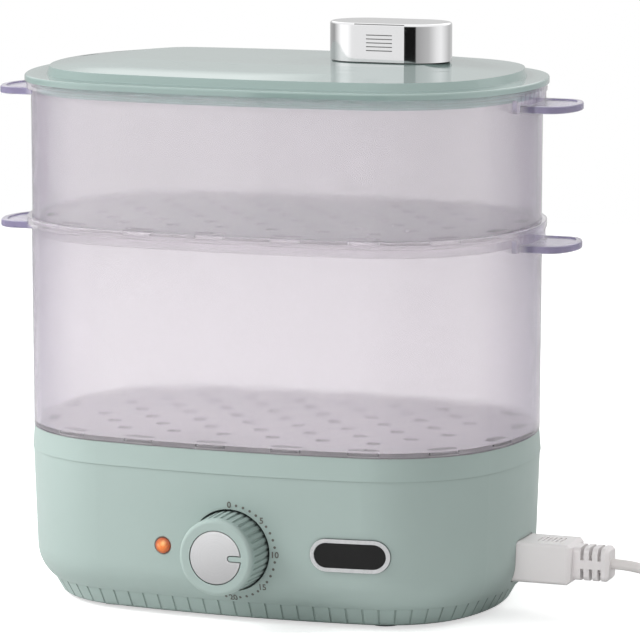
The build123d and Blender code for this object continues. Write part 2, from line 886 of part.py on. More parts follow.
def make_wheel():
    x, z = arbor_place()
    body = gear(x, z, pinion_teeth, 0.0, gear_y)
    body += disc_y(x, z, arbor_radius, well_back_y + 0.3, case_back_y - 0.2)
    front = gear_y - 4
    wheel = disc_y(x, z, escape_radius, front, front + 1)
    for k in range(escape_teeth):
        angle = 2 * math.pi * k / escape_teeth
        wheel -= disc_y(x + escape_radius * math.cos(angle), z + escape_radius * math.sin(angle),
                        0.6, front - 1, front + 2)
    return body + wheel


def barrel_front_y():
    return gear_y + gear_thickness + 0.5


def make_barrel():
    """Spring barrel: a drum on the shaft, open at the back."""
    front = barrel_front_y()
    body = disc_y(dial_x, dial_z, barrel_radius, front, front + barrel_depth)
    body -= disc_y(dial_x, dial_z, barrel_radius - 0.8, front + 0.8, front + barrel_depth + 1)
    return body - disc_y(dial_x, dial_z, shaft_radius + running_gap, front - 1, front + barrel_depth)


def make_mainspring():
    """Flat spiral spring of half turns, wound from the shaft out to the barrel."""
    low, high = shaft_radius + 0.4, barrel_radius - 1.3
    halves = 2 * spring_turns
    step = (high - low) / halves
    edges = []
    for k in range(halves):
        near, far = low + k * step, low + (k + 1) * step
        side = 1 if k % 2 == 0 else -1
        middle = side * (near - far) / 2
        radius = (near + far) / 2
        edges.append(ThreePointArc((side * near, 0), (middle, side * radius), (-side * far, 0)))
    ribbon = trace(Curve() + edges, spring_thickness)
    front = barrel_front_y() + 1.0
    return extrude(Plane(origin=(dial_x, front, dial_z), z_dir=(0, 1, 0)) * ribbon,
                   amount=barrel_depth - 1.6)


# =============================================================== lamp and badge
def make_lens():
    seat = lens_seat_y()
    front = skin_y(lamp_x, lamp_z)
    body = disc_y(lamp_x, lamp_z, lens_radius, front, seat + 1)
    body += disc_y(lamp_x, lamp_z, lens_flange_radius, seat, seat + 1.2)
    sphere_radius = (lens_radius**2 + lens_dome**2) / (2 * lens_dome)
    dome = Pos(lamp_x, front - lens_dome + sphere_radius, lamp_z) * Sphere(sphere_radius)
    return body + (dome & disc_y(lamp_x, lamp_z, lens_radius, front - lens_dome - 1, front + 0.5))


def lamp_front_y():
    return lens_seat_y() + 1.2


def make_lamp_holder():
    front = lamp_front_y()
    back = front + neon_length + 2.5
    body = disc_y(lamp_x, lamp_z, lens_flange_radius, front, back)
    return body - disc_y(lamp_x, lamp_z, neon_radius + snap_gap, front - 1, back - 1.5)


def make_neon():
    front = lamp_front_y() + 0.3
    body = disc_y(lamp_x, lamp_z, neon_radius, front, front + neon_length)
    return fillet(body.faces().sort_by(Axis.Y)[0].edges(), neon_radius * 0.8)


def badge_prism(length, height):
    return stadium_y(badge_x, badge_z, length, height, -half_depth - 3, -half_depth / 2)


def make_badge_frame():
    ring_prism = badge_prism(badge_length, badge_height) \
        - badge_prism(badge_length - 2 * badge_rim, badge_height - 2 * badge_rim)
    return (ring_prism & drafted_skin(badge_proud)) - drafted_skin(-badge_sink)


def make_badge_plate():
    inner = 2 * (badge_rim + snap_gap)
    prism = badge_prism(badge_length - inner, badge_height - inner)
    return (prism & drafted_skin(inlay_proud)) - drafted_skin(-badge_sink)


# =============================================================== inlet and connector
def pin_sides():
    return (-pin_spacing / 2, pin_spacing / 2)


def socket_form(gap):
    """Outer form of the inlet socket, grown by gap: its box and the two screw ears."""
    half_w = plug_width / 2 + plug_gap + socket_wall + gap
    half_h = plug_height / 2 + plug_gap + socket_wall + gap
    body = box((socket_back_x, inlet_pad_x), (-half_w, half_w), (plug_z - half_h, plug_z + half_h))
    ear_reach, ear_half = inlet_screw_y + socket_ear + gap, socket_ear + 1.5 + gap
    return body + box((inlet_pad_x - socket_flange, inlet_pad_x), (-ear_reach, ear_reach),
                      (plug_z - ear_half, plug_z + ear_half))


def make_inlet_socket():
    body = socket_form(0)
    body -= plug_section(plug_gap, socket_back_x + socket_back_wall, inlet_pad_x + 1)
    for y in pin_sides():
        body -= rod(pin_radius, (socket_back_x - 1, y, plug_z), (inlet_pad_x, y, plug_z))
    for y in (-inlet_screw_y, inlet_screw_y):
        body -= rod(small_screw[2] + snap_gap, (inlet_pad_x - 5, y, plug_z), (inlet_pad_x + 1, y, plug_z))
    return body


def make_inlet_pins():
    front = socket_back_x + socket_back_wall + pin_reach
    pins = []
    for y in pin_sides():
        pin = rod(pin_radius, (socket_back_x - pin_tail, y, plug_z), (front, y, plug_z))
        pins.append(fillet(pin.faces().sort_by(Axis.X)[-1].edges(), 1.2))
    return pins


def make_inlet_screws():
    seat = inlet_pad_x - socket_flange
    return [Pos(seat, y, plug_z) * Rot(0, -90, 0) * screw(small_screw, socket_flange + 3.5)
            for y in (-inlet_screw_y, inlet_screw_y)]


def nose_x():
    return socket_back_x + socket_back_wall + plug_nose_gap


def make_connector():
    """Moulded connector: block with grip ridges, then a slotted boot that flexes with the lead."""
    body = plug_section(0.0, nose_x(), plug_block_end)
    body = chamfer(body.faces().sort_by(Axis.X)[-1].edges(), 1.5)
    top = plug_z + plug_height / 2
    for k in range(grip_count):
        x = plug_block_end - 6 - k * grip_pitch
        body -= box((x - 0.45, x + 0.45), (-grip_width / 2, grip_width / 2), (top - 0.6, top + 1))
    half_h, half_w = boot_height / 2, boot_width / 2
    boot = box((plug_block_end - 2, boot_end), (-half_w, half_w), (plug_z - half_h, plug_z + half_h))
    boot = fillet(boot.edges().filter_by(Axis.X), 2.6)
    boot = chamfer(boot.faces().sort_by(Axis.X)[-1].edges(), 1.2)
    first = boot_end - boot_collar - boot_slot
    for k in range(boot_slots):
        x = first - k * boot_pitch
        ring_slot = box((x, x + boot_slot), (-half_w - 1, half_w + 1),
                        (plug_z - half_h - 1, plug_z + half_h + 1))
        ring_slot -= box((x - 1, x + boot_slot + 1), (-half_w - 2, half_w + 2),
                         (plug_z - boot_web / 2, plug_z + boot_web / 2))
        ring_slot -= box((x - 1, x + boot_slot + 1), (-lead_radius - 1.2, lead_radius + 1.2),
                         (plug_z - lead_radius - 1.4, plug_z + lead_radius + 1.4))
        boot -= ring_slot
    body += boot
    for y in pin_sides():
        body -= rod(pin_radius + running_gap + contact_wall, (nose_x() - 1, y, plug_z),
                    (contact_end_x(), y, plug_z))
    return body


def contact_end_x():
    return socket_back_x + socket_back_wall + pin_reach + 2


def make_contacts():
    sleeves = []
    for y in pin_sides():
        outer = rod(pin_radius + running_gap + contact_wall, (nose_x() + 0.5, y, plug_z),
                    (contact_end_x(), y, plug_z))
        sleeves.append(outer - rod(pin_radius + running_gap, (nose_x() - 1, y, plug_z),
                                   (contact_end_x() + 1, y, plug_z)))
    return sleeves


def lead_route():
    """The lead from the boot down to the table and into the coil's outer turn."""
    end_x = coil_x - stub_length
    low = lead_radius + 0.05
    return [(boot_end, 0, plug_z), (boot_end + 13, 0, plug_z), (boot_end + 26.5, -1.8, 16.0),
            (boot_end + 39, -4.3, 7.5),
            (end_x - 12.5, coil_entry_y(), low), (end_x, coil_entry_y(), low)]


def coil_entry_y():
    return coil_y - coil_mean_radius - 2 * lead_radius


def tail_route():
    """The lead from the coil's top turn down into the mains plug's boot."""
    x = coil_x + coil_mean_radius
    start = coil_y + stub_length
    high, low = 5 * lead_radius + 0.2, mains_plug_height / 2
    return [(x, start, high), (x, start + 8, high), (x + 1, start + 22, low),
            (x + 1, tail_end_y(), low)]


def tail_end_y():
    return coil_y + stub_length + 30


def make_coil():
    """Outer shape of the wound lead: two full layers of three turns, and one turn on top."""
    r, d, z = coil_mean_radius, 2 * lead_radius, lead_radius
    inner, outer = r - 1.5 * d, r + 1.5 * d
    body = revolved_z([(inner + z, 0), (outer - z, 0), (outer, z), (outer, 2 * d - z),
                       (outer - z, 2 * d), (r + d / 2, 3 * d), (r - d / 2, 3 * d),
                       (inner + z, 2 * d), (inner, 2 * d - z), (inner, z)])
    body = Pos(coil_x, coil_y, 0) * body
    low = lead_radius + 0.05
    body += rod(lead_radius, (coil_x - stub_length, coil_entry_y(), low), (coil_x, coil_entry_y(), low))
    top = 5 * lead_radius + 0.2
    x = coil_x + r
    return body + rod(lead_radius, (x, coil_y, top), (x, coil_y + stub_length, top))


def mains_plug_x():
    return tail_route()[-1][0]


def make_mains_plug():
    x, y = mains_plug_x(), tail_end_y()
    body_y = y + mains_boot_length
    half_w = mains_plug_width / 2
    body = box((x - half_w, x + half_w), (body_y, body_y + mains_plug_length), (0, mains_plug_height))
    body = fillet(body.edges().filter_by(Axis.Y), 4.0)
    body = fillet(body.faces().sort_by(Axis.Y)[0].edges(), 2.5)
    centre = mains_plug_height / 2
    boot = Plane(origin=(x, y, centre), z_dir=(0, 1, 0)) * Circle(lead_radius + 0.9)
    wide = Plane(origin=(x, body_y + 3, centre), z_dir=(0, 1, 0)) * Circle(lead_radius + 2.6)
    body += loft([boot, wide])
    for side in (-1, 1):
        body -= blade_box(x + side * blade_spacing / 2, body_y + mains_plug_length, snap_gap)
    return body


def blade_box(x, face_y, gap):
    half_t, half_w = blade_thickness / 2 + gap, blade_width / 2 + gap
    centre = mains_plug_height / 2
    return box((x - half_t, x + half_t), (face_y - 6, face_y + blade_length),
               (centre - half_w, centre + half_w))


def make_blades():
    face_y = tail_end_y() + mains_boot_length + mains_plug_length
    blades = []
    for side in (-1, 1):
        x = mains_plug_x() + side * blade_spacing / 2
        blade = blade_box(x, face_y, 0.0)
        hole_y = face_y + blade_length - 4.3
        centre = mains_plug_height / 2
        blade -= rod(1.5, (x - 2, hole_y, centre), (x + 2, hole_y, centre))
        blades.append(chamfer(blade.faces().sort_by(Axis.Y)[-1].edges().filter_by(Axis.Z), 0.5))
    return blades


# =============================================================== inner wiring
def inner_wires():
    """Routes of the loose wires inside the base, by node name."""
    (first, second, third) = terminal_places()
    (ex, ey, _) = (*element_ends()[0], 0)
    bx, by = element_ends()[1]
    pin_x = socket_back_x - pin_tail - snap_gap
    end = terminal_reach + snap_gap
    tab = terminal_thickness / 2
    stat_y = thermostat_radius + 6 + snap_gap
    stat_z = thermostat_z + 2.5 + tab
    fuse_z = thermostat_z + fuse_radius
    fuse_y = fuse_length / 2 + snap_gap
    foot_z = pin_end_z() - snap_gap
    return {
        "wire_live": [(pin_x, -pin_spacing / 2, plug_z), (pin_x - 4, -pin_spacing / 2, plug_z),
                      (68, -8, 23), (58, -19, 22), (50, -34, 24), (42, second[1] + 1, 29),
                      (second[0] + end + 4, second[1], second[2]),
                      (second[0] + end, second[1], second[2] + tab)],
        "wire_switched": [(first[0] + end, first[1], first[2] + tab), (38, first[1] + 1, 34.5),
                          (39, -47, 38), (28, -38, 40), (12, -30, 40.5), (2, -24, 42.5),
                          (0, -stat_y - 3, stat_z - 1), (0, -stat_y, stat_z)],
        "wire_element": [(0, stat_y, stat_z), (0, stat_y + 3, stat_z - 1), (-1, 24, 43),
                         (4, 32, 34), (16, 30, 27), (26, 18, 19), (26, 2, 17.5), (ex + 2, ey + 4, 19),
                         (ex, ey, 26), (ex, ey, foot_z)],
        "wire_neutral": [(pin_x, pin_spacing / 2, plug_z), (pin_x - 4, pin_spacing / 2, plug_z),
                         (66, 8, 22), (52, 18, 23),
                         (38, 26, 26), (26, 32, 33), (17, 27, 41), (fuse_x, 15, 45.5),
                         (fuse_x, fuse_y + 3, fuse_z), (fuse_x, fuse_y, fuse_z)],
        "wire_return": [(fuse_x, -fuse_y, fuse_z), (fuse_x, -fuse_y - 3, fuse_z),
                        (fuse_x + 1, -15, 44.5), (22, -21, 39), (32, -18, 31), (36, -4, 25),
                        (31, 8, 23), (bx + 2, by, 23.5), (bx, by, 28), (bx, by, foot_z)],
        "wire_lamp": [(third[0] - end, third[1], third[2] + tab),
                      (third[0] - end - 3, third[1], third[2] + tab), (-34.5, third[1] + 2, 26),
                      (-40, -45, 27), (-39, -36, 30), (-30, -36, 31.5),
                      (lamp_x, lamp_front_y() + neon_length + 2.5 + snap_gap + 9, lamp_z),
                      (lamp_x, lamp_front_y() + neon_length + 2.5 + snap_gap, lamp_z)],
    }


# =============================================================== drip tray and tiers
def make_drip_tray():
    low = tank_floor_top + tray_post_height
    body = block(low, low + tray_height, -tray_inset)
    body -= block(low + tray_wall, low + tray_height + 1, -tray_inset - tray_wall)
    body += extrude(Pos(0, 0, low) * SlotOverall(duct_length, duct_width), amount=tray_height)
    bore = SlotOverall(duct_length - 2 * duct_wall, duct_width - 2 * duct_wall)
    return body - extrude(Pos(0, 0, low - 1) * bore, amount=tray_height + 2)


def make_tab(side, wall_x, mid_z):
    """Finger tab at one end: a plate with a wide round nose, its top face slightly sunk."""
    tip = wall_x + tab_reach
    nose = tip - tab_nose_radius
    top = mid_z + tab_thickness / 2

    def plate(inset, low, high):
        face = Pos(nose, 0) * Circle(tab_nose_radius - inset)
        half, run = tab_half_width - inset, tab_reach + tier_wall
        face &= Pos(tip - (run + inset) / 2, 0) * Rectangle(run - inset, 2 * half)
        rounded = fillet(face.vertices().group_by(Axis.X)[-1], tab_corner - inset)
        return extrude(Pos(0, 0, low) * rounded, amount=high - low)

    body = plate(0.0, top - tab_thickness, top)
    rims = body.edges().filter_by(Axis.Z, reverse=True)
    body = fillet([e for e in rims if e.center().X > wall_x - 4], 0.7)
    body -= plate(tab_border, top - tab_recess, top + 1)
    return body if side > 0 else mirror(body, about=Plane.YZ)


def drain_places():
    """Staggered drain holes over the tier's floor, clear of its margin."""
    rows = int(half_depth / drain_pitch_y)
    columns = int(half_length / drain_pitch_x) + 1
    places = []
    for row in range(-rows, rows + 1):
        shift = 0.5 if row % 2 else 0.0
        for column in range(-columns, columns + 1):
            x, y = (column + shift) * drain_pitch_x, row * drain_pitch_y
            if abs(x) < half_length - drain_margin and abs(y) < half_depth_at(x, -drain_margin):
                places.append((x, y))
    return places


def make_tier(seat, wall_height, rim_reach):
    """One storey: wall, perforated floor, locating skirt below, rim with lip, and two tabs."""
    wall_top = seat + wall_height
    rim_top = wall_top + lip_height
    top_grow = -tier_inset + tier_spread * wall_height
    wall_x = half_length
    body = block(seat, wall_top, -tier_inset, -tier_draft)
    rim = block(rim_top - rim_height, rim_top, rim_reach)
    rim = fillet(rim.faces().sort_by(Axis.Z)[-1].edges(), 0.5)
    tab_z = rim_top - tab_drop
    apron = block(tab_z - tab_thickness / 2, rim_top - 1, rim_reach)
    apron &= box((-2 * half_length, 2 * half_length), (-apron_half_width, apron_half_width),
                 (seat, rim_top))
    body += rim + apron
    for side in (-1, 1):
        body += make_tab(side, wall_x, tab_z)
    body -= block(seat + tier_floor, wall_top + 1, -tier_inset - tier_wall, -tier_draft)
    body -= block(wall_top, rim_top + 1, -tier_inset + fit_gap)
    body += ring(seat - skirt_depth, seat + tier_floor / 2, skirt_grow, skirt_grow - skirt_wall)
    holes = [rod(drain_radius, (x, y, seat - 1), (x, y, seat + tier_floor + 1))
             for x, y in drain_places()]
    for x, y, angle in stations(round(perimeter(-slot_inset) / slot_pitch), -slot_inset):
        face = Pos(x, y, seat - 1) * Rot(0, 0, math.degrees(angle) + 90) \
            * SlotOverall(slot_length, slot_width)
        holes.append(extrude(face, amount=tier_floor + 2))
    return body - holes


# =============================================================== lid
def deck_form(sink):
    """The lid's raised deck: a sloped step and a low crown, sunk by sink for its inner face."""
    base = flange_reach - deck_base_inset - sink
    top = flange_reach - deck_top_inset - sink
    step = block(upper_rim, deck_edge - sink, base,
                 math.degrees(math.atan((base - top) / (deck_edge - sink - upper_rim))))
    low = Pos(0, 0, deck_edge - sink) * outline(top)
    high = Pos(0, 0, deck_top - sink) * outline(top - deck_margin)
    return step + loft([low, high], ruled=True)


def handle_screw_xs():
    return (handle_x - handle_boss_offset, handle_x + handle_boss_offset)


def make_lid():
    flange = block(upper_rim, flange_top, flange_reach)
    flange = fillet(flange.faces().sort_by(Axis.Z)[-1].edges(), flange_round)
    body = flange + deck_form(0.0)
    body -= deck_form(deck_wall)
    skirt = upper_top_grow - tier_wall - fit_gap
    body -= block(upper_rim - 1, upper_rim + 0.001, skirt - lid_skirt_wall)
    body += ring(upper_rim - lid_skirt_depth, upper_rim + 0.5, skirt, skirt - lid_skirt_wall)
    for inset, y, length, turn in vents:
        body -= vent(inset - half_length, y, length, turn)
    for x in handle_screw_xs():
        body -= rod(small_screw[2] + snap_gap, (x, 0, upper_rim), (x, 0, deck_top + 1))
    return body


def vent(x, y, length, turn):
    if length <= 2 * vent_width:
        face = Circle(length / 2)
    else:
        face = Rot(0, 0, turn) * SlotOverall(length, vent_width)
    return extrude(Pos(x, y, upper_rim) * face, amount=deck_top - upper_rim + 1)


def stadium_z(length, width, low, high):
    return extrude(Pos(handle_x, 0, low) * SlotOverall(length, width), amount=high - low)


def make_gasket():
    length, width = handle_length - 2 * gasket_inset, handle_width - 2 * gasket_inset
    body = stadium_z(length, width, deck_top, deck_top + gasket_thickness)
    for x in handle_screw_xs():
        body -= rod(small_screw[2] + snap_gap, (x, 0, deck_top - 1), (x, 0, deck_top + 2))
    return body


def make_handle():
    low = deck_top + gasket_thickness
    high = low + handle_height
    body = stadium_z(handle_length, handle_width, low, high)
    body = fillet(body.faces().sort_by(Axis.Z)[-1].edges(), handle_round)
    body -= stadium_z(handle_length - 2 * handle_wall, handle_width - 2 * handle_wall,
                      low - 1, high - handle_wall)
    for x in handle_screw_xs():
        body += rod(handle_boss_radius, (x, 0, low), (x, 0, high - handle_wall / 2))
        body -= rod(small_screw[2] + snap_gap, (x, 0, low - 1), (x, 0, high - handle_wall - 2))
    face_y = -handle_width / 2
    middle = (low + high) / 2
    for k in range(engraved_lines):
        z = middle + (k - (engraved_lines - 1) / 2) * engraved_pitch
        body -= box((handle_x - engraved_length / 2, handle_x + engraved_length / 2),
                    (face_y - 1, face_y + engraved_depth),
                    (z - engraved_width / 2, z + engraved_width / 2))
    return body


def make_handle_screws():
    seat = deck_top - deck_wall
    shape = screw(small_screw, deck_wall + gasket_thickness + 7)
    return [upward(x, 0, seat, shape) for x in handle_screw_xs()]


# =============================================================== all nodes
def main():
    os.makedirs("parts", exist_ok=True)
    save("base_shell", make_base_shell())
    save("bottom_cover", make_bottom_cover())
    save("rubber_feet", *make_feet())
    save("cover_screws", *make_cover_screws())
    save("water_tank", make_water_tank())
    save("heating_plate", make_heating_plate())
    save("plate_seal", make_plate_seal())
    save("plate_clamp", make_plate_clamp())
    save("clamp_screws", *make_clamp_screws())
    save("heating_element", make_heating_element())
    save("thermostat", make_thermostat())
    save("thermostat_strap", make_strap())
    save("strap_screws", *make_strap_screws())
    save("thermal_fuse", make_thermal_fuse())
    save("timer_plate", make_timer_plate())
    save("timer_case", make_timer_case())
    save("timer_terminals", *make_terminals())
    save("timer_bell", make_bell())
    save("timer_screws", *make_timer_screws())
    save("timer_knob", make_knob())
    save("knob_disc", make_disc())
    save("timer_shaft", make_shaft())
    save("main_gear", make_main_gear())
    save("spring_barrel", make_barrel())
    save("mainspring", make_mainspring())
    save("escape_wheel", make_wheel())
    save("lamp_lens", make_lens())
    save("lamp_holder", make_lamp_holder())
    save("neon_lamp", make_neon())
    save("badge_frame", make_badge_frame())
    save("badge_plate", make_badge_plate())
    save("inlet_socket", make_inlet_socket())
    save("inlet_pins", *make_inlet_pins())
    save("inlet_screws", *make_inlet_screws())
    for name, points in inner_wires().items():
        save(name, tube(points, wire_radius, name))
    save("drip_tray", make_drip_tray())
    save("lower_tier", make_tier(collar_top, lower_wall_height, lower_rim_reach))
    save("upper_tier", make_tier(lower_top, upper_wall_height, upper_rim_reach))
    save("lid", make_lid())
    save("handle_gasket", make_gasket())
    save("lid_handle", make_handle())
    save("handle_screws", *make_handle_screws())
    save("connector_body", make_connector())
    save("connector_contacts", *make_contacts())
    save("cord_lead", tube(lead_route(), lead_radius, "cord_lead"))
    save("cord_coil", make_coil())
    save("cord_tail", tube(tail_route(), lead_radius, "cord_tail"))
    save("mains_plug", make_mains_plug())
    save("plug_blades", *make_blades())


main()
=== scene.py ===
import math

import bpy
from bpy.props import FloatProperty, FloatVectorProperty, PointerProperty
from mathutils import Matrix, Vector
from mathutils.bvhtree import BVHTree


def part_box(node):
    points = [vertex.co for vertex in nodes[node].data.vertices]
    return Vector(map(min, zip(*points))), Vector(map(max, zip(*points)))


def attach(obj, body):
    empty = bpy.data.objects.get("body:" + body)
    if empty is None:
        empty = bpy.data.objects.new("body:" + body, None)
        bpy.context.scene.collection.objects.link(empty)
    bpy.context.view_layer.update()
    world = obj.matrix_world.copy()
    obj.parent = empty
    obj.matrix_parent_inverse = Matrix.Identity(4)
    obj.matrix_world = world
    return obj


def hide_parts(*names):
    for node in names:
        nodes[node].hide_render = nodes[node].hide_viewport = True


bl_info = {
    "name": "Food steamer finishes",
    "version": (1, 0, 0),
    "blender": (4, 5, 0),
    "location": "3D View > Sidebar > Steamer",
    "description": "Dresses an electric food steamer: housing, tiers, lid, dial and mains lead",
    "category": "Object",
}

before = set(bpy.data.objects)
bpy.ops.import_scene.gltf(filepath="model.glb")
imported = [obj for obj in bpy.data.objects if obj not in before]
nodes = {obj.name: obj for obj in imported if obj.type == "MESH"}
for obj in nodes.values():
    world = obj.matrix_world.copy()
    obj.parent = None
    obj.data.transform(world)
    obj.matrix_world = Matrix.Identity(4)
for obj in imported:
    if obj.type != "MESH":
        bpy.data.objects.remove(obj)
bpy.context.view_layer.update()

MM = 0.001
# The appliance's middle lies this far back from the origin, because the dial stands out in front.
PLAN_Y = sum(corner.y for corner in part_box("lid")) / 2

# Distances from the middle between which a tier's wall turns into its finger tab.
TAB_ROOT = (107.5 * MM, 112 * MM)
# Heights of a tier's floor, of its and the lid's skirt, and of a tier's rim.
FLOOR_ZONE = 10 * MM
SKIRT_ZONE = 4.8 * MM
RIM_ZONE = 3.3 * MM
# Height of the lid's low crown above its deck's edge.
CROWN = 3.6 * MM
# Radius of the ring that the mould leaves on the lid, and how far off it the ring fades out.
MOULD_RING = 40 * MM
MOULD_RING_EDGE = (0.1 * MM, 0.7 * MM)
# Middles of the lid's steam vents from the appliance's middle, and their half lengths, in mm.
VENTS = ((-93.5, 9.0, 5.0), (-83.0, 23.0, 6.0), (-69.5, 26.0, 2.25))
# Depths behind the handle's front between which its engraved lines' faces lie.
ENGRAVING = (0.1 * MM, 0.5 * MM)

# The dial's scale: steps of one minute, each so many degrees, with a number at every fifth.
MINUTES = 30
MINUTE_TURN = 9
NUMBERED = 5
DOT_SIDES = 14
# How far the ink stands off the housing.
INK_LIFT = 0.12 * MM

# How far the wound lead's middle lies behind the appliance's and left of the plug's, in mm.
COIL_BACK = 21.9
COIL_TO_PLUG = 25
# A smooth curve's radius, as a share of its control points' radius.
CURVE_SHRINK = 0.966
COIL_STEPS_PER_TURN = 12
COIL_STEPS = 88


def srgb(code):
    """A colour written as six hexadecimal digits, as linear RGBA."""
    parts = [int(code[k:k + 2], 16) / 255 for k in (0, 2, 4)]
    linear = [p / 12.92 if p <= 0.04045 else ((p + 0.055) / 1.055) ** 2.4 for p in parts]
    return (*linear, 1.0)


def colour(label, text, code):
    return FloatVectorProperty(name=label, description=text, default=srgb(code), size=4,
                               subtype="COLOR", min=0.0, max=1.0)


def share(label, text, default):
    return FloatProperty(name=label, description=text, default=default, min=0.0, max=1.0,
                         subtype="FACTOR")


def length(label, text, default):
    return FloatProperty(name=label, description=text, default=default, min=0.0,
                         subtype="DISTANCE", unit="LENGTH")


def power(label, text, default):
    return FloatProperty(name=label, description=text, default=default, min=0.0, unit="POWER")


# =============================================================== settings
class SteamerPlastics(bpy.types.PropertyGroup):
    mint: colour("Housing", "Colour of the base, the water tank and the dial", "ABBCB7")
    mint_lid: colour("Lid", "Colour of the lid", "8A9E9A")
    frosted: colour("Tiers", "Tint of the frosted tiers", "E8E5E8")
    floor_tint: colour("Tier floors", "Tint of the tiers' thicker floors", "D6D2D6")
    # Painted light: the floors' undersides are paler than their tops, which lightens the floors'
    # edges seen low through the walls.
    under_tint: colour("Floor undersides", "Tint of the undersides of the tiers' floors", "F8F6F8")
    tray_tint: colour("Drip tray", "Tint of the drip tray", "B4AFB4")
    edge_tint: colour("Edges", "Tint of the tiers where one looks along their walls", "AAA4B2")
    rim_tint: colour("Rims", "Tint of the tiers' rims where one looks along them", "E6E2E9")
    tab_tint: colour("Tabs", "Tint of the thick finger tabs", "CECAD6")
    tab_side: colour("Tab sides", "Deeper tint of the finger tabs' narrow sides", "9A94B2")
    lead: colour("Lead", "Colour of the mains lead", "D6D2D0")
    connector: colour("Connectors", "Colour of the connector and the mains plug", "E3DFDF")
    ink: colour("Dial ink", "Colour of the dial's printed scale", "686660")
    satin: share("Satin", "Roughness of the housing", 0.42)
    gloss: share("Gloss", "Roughness of the lid", 0.05)
    frost: share("Frost", "Roughness of the tiers", 0.12)


class SteamerMetals(bpy.types.PropertyGroup):
    chrome: colour("Chrome", "Colour of the handle and the badge's ring", "E4E4E5")
    silver: colour("Silver", "Colour of the dial's disc", "DADADB")
    steel: colour("Steel", "Colour of screws, plates and clamps", "A9AAAB")
    brass: colour("Brass", "Colour of gears, pins and terminals", "B99B5B")


class SteamerLead(bpy.types.PropertyGroup):
    length: length("Length", "Whole length of the mains lead", 1.22)
    diameter: length("Diameter", "Outer diameter of the mains lead", 4.4 * MM)
    coil_radius: length("Coil radius", "Radius of the coil's middle turns", 24 * MM)


class SteamerDial(bpy.types.PropertyGroup):
    digit_ring: length("Number ring", "Radius of the ring of numbers", 19.8 * MM)
    dot_ring: length("Dot ring", "Radius of the ring of dots", 19.8 * MM)
    drop: length("Drop", "How far the printed ring sits below the knob's middle", 0.6 * MM)
    digit: length("Digit height", "Height of the dial's numbers", 2.6 * MM)
    dot: length("Dot diameter", "Diameter of the dots between the numbers", 1.1 * MM)


class SteamerStage(bpy.types.PropertyGroup):
    distance: length("Distance", "Distance from the camera to the appliance", 1.8747)
    key: power("Key light", "Power of the main light", 14.0)
    fill: power("Fill light", "Power of the light from the right end", 6.3)
    front: power("Front light", "Power of the light from straight ahead", 4.0)
    spot: power("Connector light", "Power of the light for only the connector and the lead", 4.0)
    lid: power("Lid light", "Power of the light for only the lid", 6.0)
    sky: share("Surroundings", "Brightness of the light from all round", 0.57)
    paper: share("Paper", "Extra brightness of the floor's white paper", 0.62)


def plastics():
    return bpy.context.scene.steamer_plastics


def metals():
    return bpy.context.scene.steamer_metals


# =============================================================== node helpers
def plug(tree, socket, value):
    """Link a socket, or set its value."""
    if isinstance(value, bpy.types.NodeSocket):
        tree.links.new(value, socket)
    else:
        socket.default_value = value


def node(tree, kind, links=None, **values):
    """A node with its plain values set and its inputs linked by name or number."""
    made = tree.nodes.new(kind)
    for key, value in values.items():
        setattr(made, key, value)
    for key, value in (links or {}).items():
        plug(tree, made.inputs[key], value)
    return made


def maths(tree, operation, *values):
    return node(tree, "ShaderNodeMath", dict(enumerate(values)), operation=operation).outputs[0]


def vector_maths(tree, operation, *values):
    made = node(tree, "ShaderNodeVectorMath", dict(enumerate(values)), operation=operation)
    return made.outputs["Value" if operation in ("LENGTH", "DOT_PRODUCT") else "Vector"]


def distance(tree, place, centre, across):
    """Distance from a centre, only along the directions that across keeps."""
    away = vector_maths(tree, "SUBTRACT", place, centre)
    return vector_maths(tree, "LENGTH", vector_maths(tree, "MULTIPLY", away, across))


def coordinates(tree, vector):
    """The x, y and z of a vector."""
    return node(tree, "ShaderNodeSeparateXYZ", {0: vector}).outputs


def mixed(tree, factor, first, second):
    """Blend two colours."""
    made = node(tree, "ShaderNodeMix", {0: factor, 6: first, 7: second}, data_type="RGBA")
    return made.outputs[2]


def blended(tree, factor, first, second):
    """Blend two numbers."""
    return node(tree, "ShaderNodeMix", {0: factor, 2: first, 3: second}).outputs[0]


def spread(tree, value, low, high, start=0.0, end=1.0):
    """Map start to end onto low to high, and hold it beyond them."""
    return node(tree, "ShaderNodeMapRange", {"Value": value, "From Min": start, "From Max": end,
                                             "To Min": low, "To Max": high}).outputs[0]


def evened(tree, pattern, low, high):
    """A noise pattern's middle range mapped onto low to high."""
    return spread(tree, pattern, low, high, 0.3, 0.7)


def noise(tree, place, scale, detail=2.0):
    inputs = {"Vector": place, "Scale": scale, "Detail": detail}
    return node(tree, "ShaderNodeTexNoise", inputs).outputs[0]


def object_place(tree):
    return node(tree, "ShaderNodeTexCoord").outputs["Object"]


def toned(tree, tint, value):
    """A colour with its brightness scaled."""
    return node(tree, "ShaderNodeHueSaturation", {"Color": tint, "Value": value}).outputs[0]


# =============================================================== shared surface effects
def new_group(name, inputs, outputs):
    """Shader node group with named sockets, given as (name, kind, default)."""
    group = bpy.data.node_groups.new(name, "ShaderNodeTree")
    for direction, sockets in (("INPUT", inputs), ("OUTPUT", outputs)):
        for label, kind, default in sockets:
            socket = group.interface.new_socket(label, in_out=direction, socket_type=kind)
            if default is not None:
                socket.default_value = default
    given = group.nodes.new("NodeGroupInput").outputs
    made = group.nodes.new("NodeGroupOutput").inputs
    return group, given, made


def surface_group(name, shade, roughness, *more):
    """Group that turns a colour, its darkest shade and a roughness into a skin."""
    inputs = [("Colour", "NodeSocketColor", (0.5, 0.5, 0.5, 1)),
              ("Shade", "NodeSocketFloat", shade), ("Roughness", "NodeSocketFloat", roughness)]
    outputs = [("Colour", "NodeSocketColor", None), ("Roughness", "NodeSocketFloat", None),
               ("Height", "NodeSocketFloat", None)]
    return new_group(name, inputs + list(more), outputs)


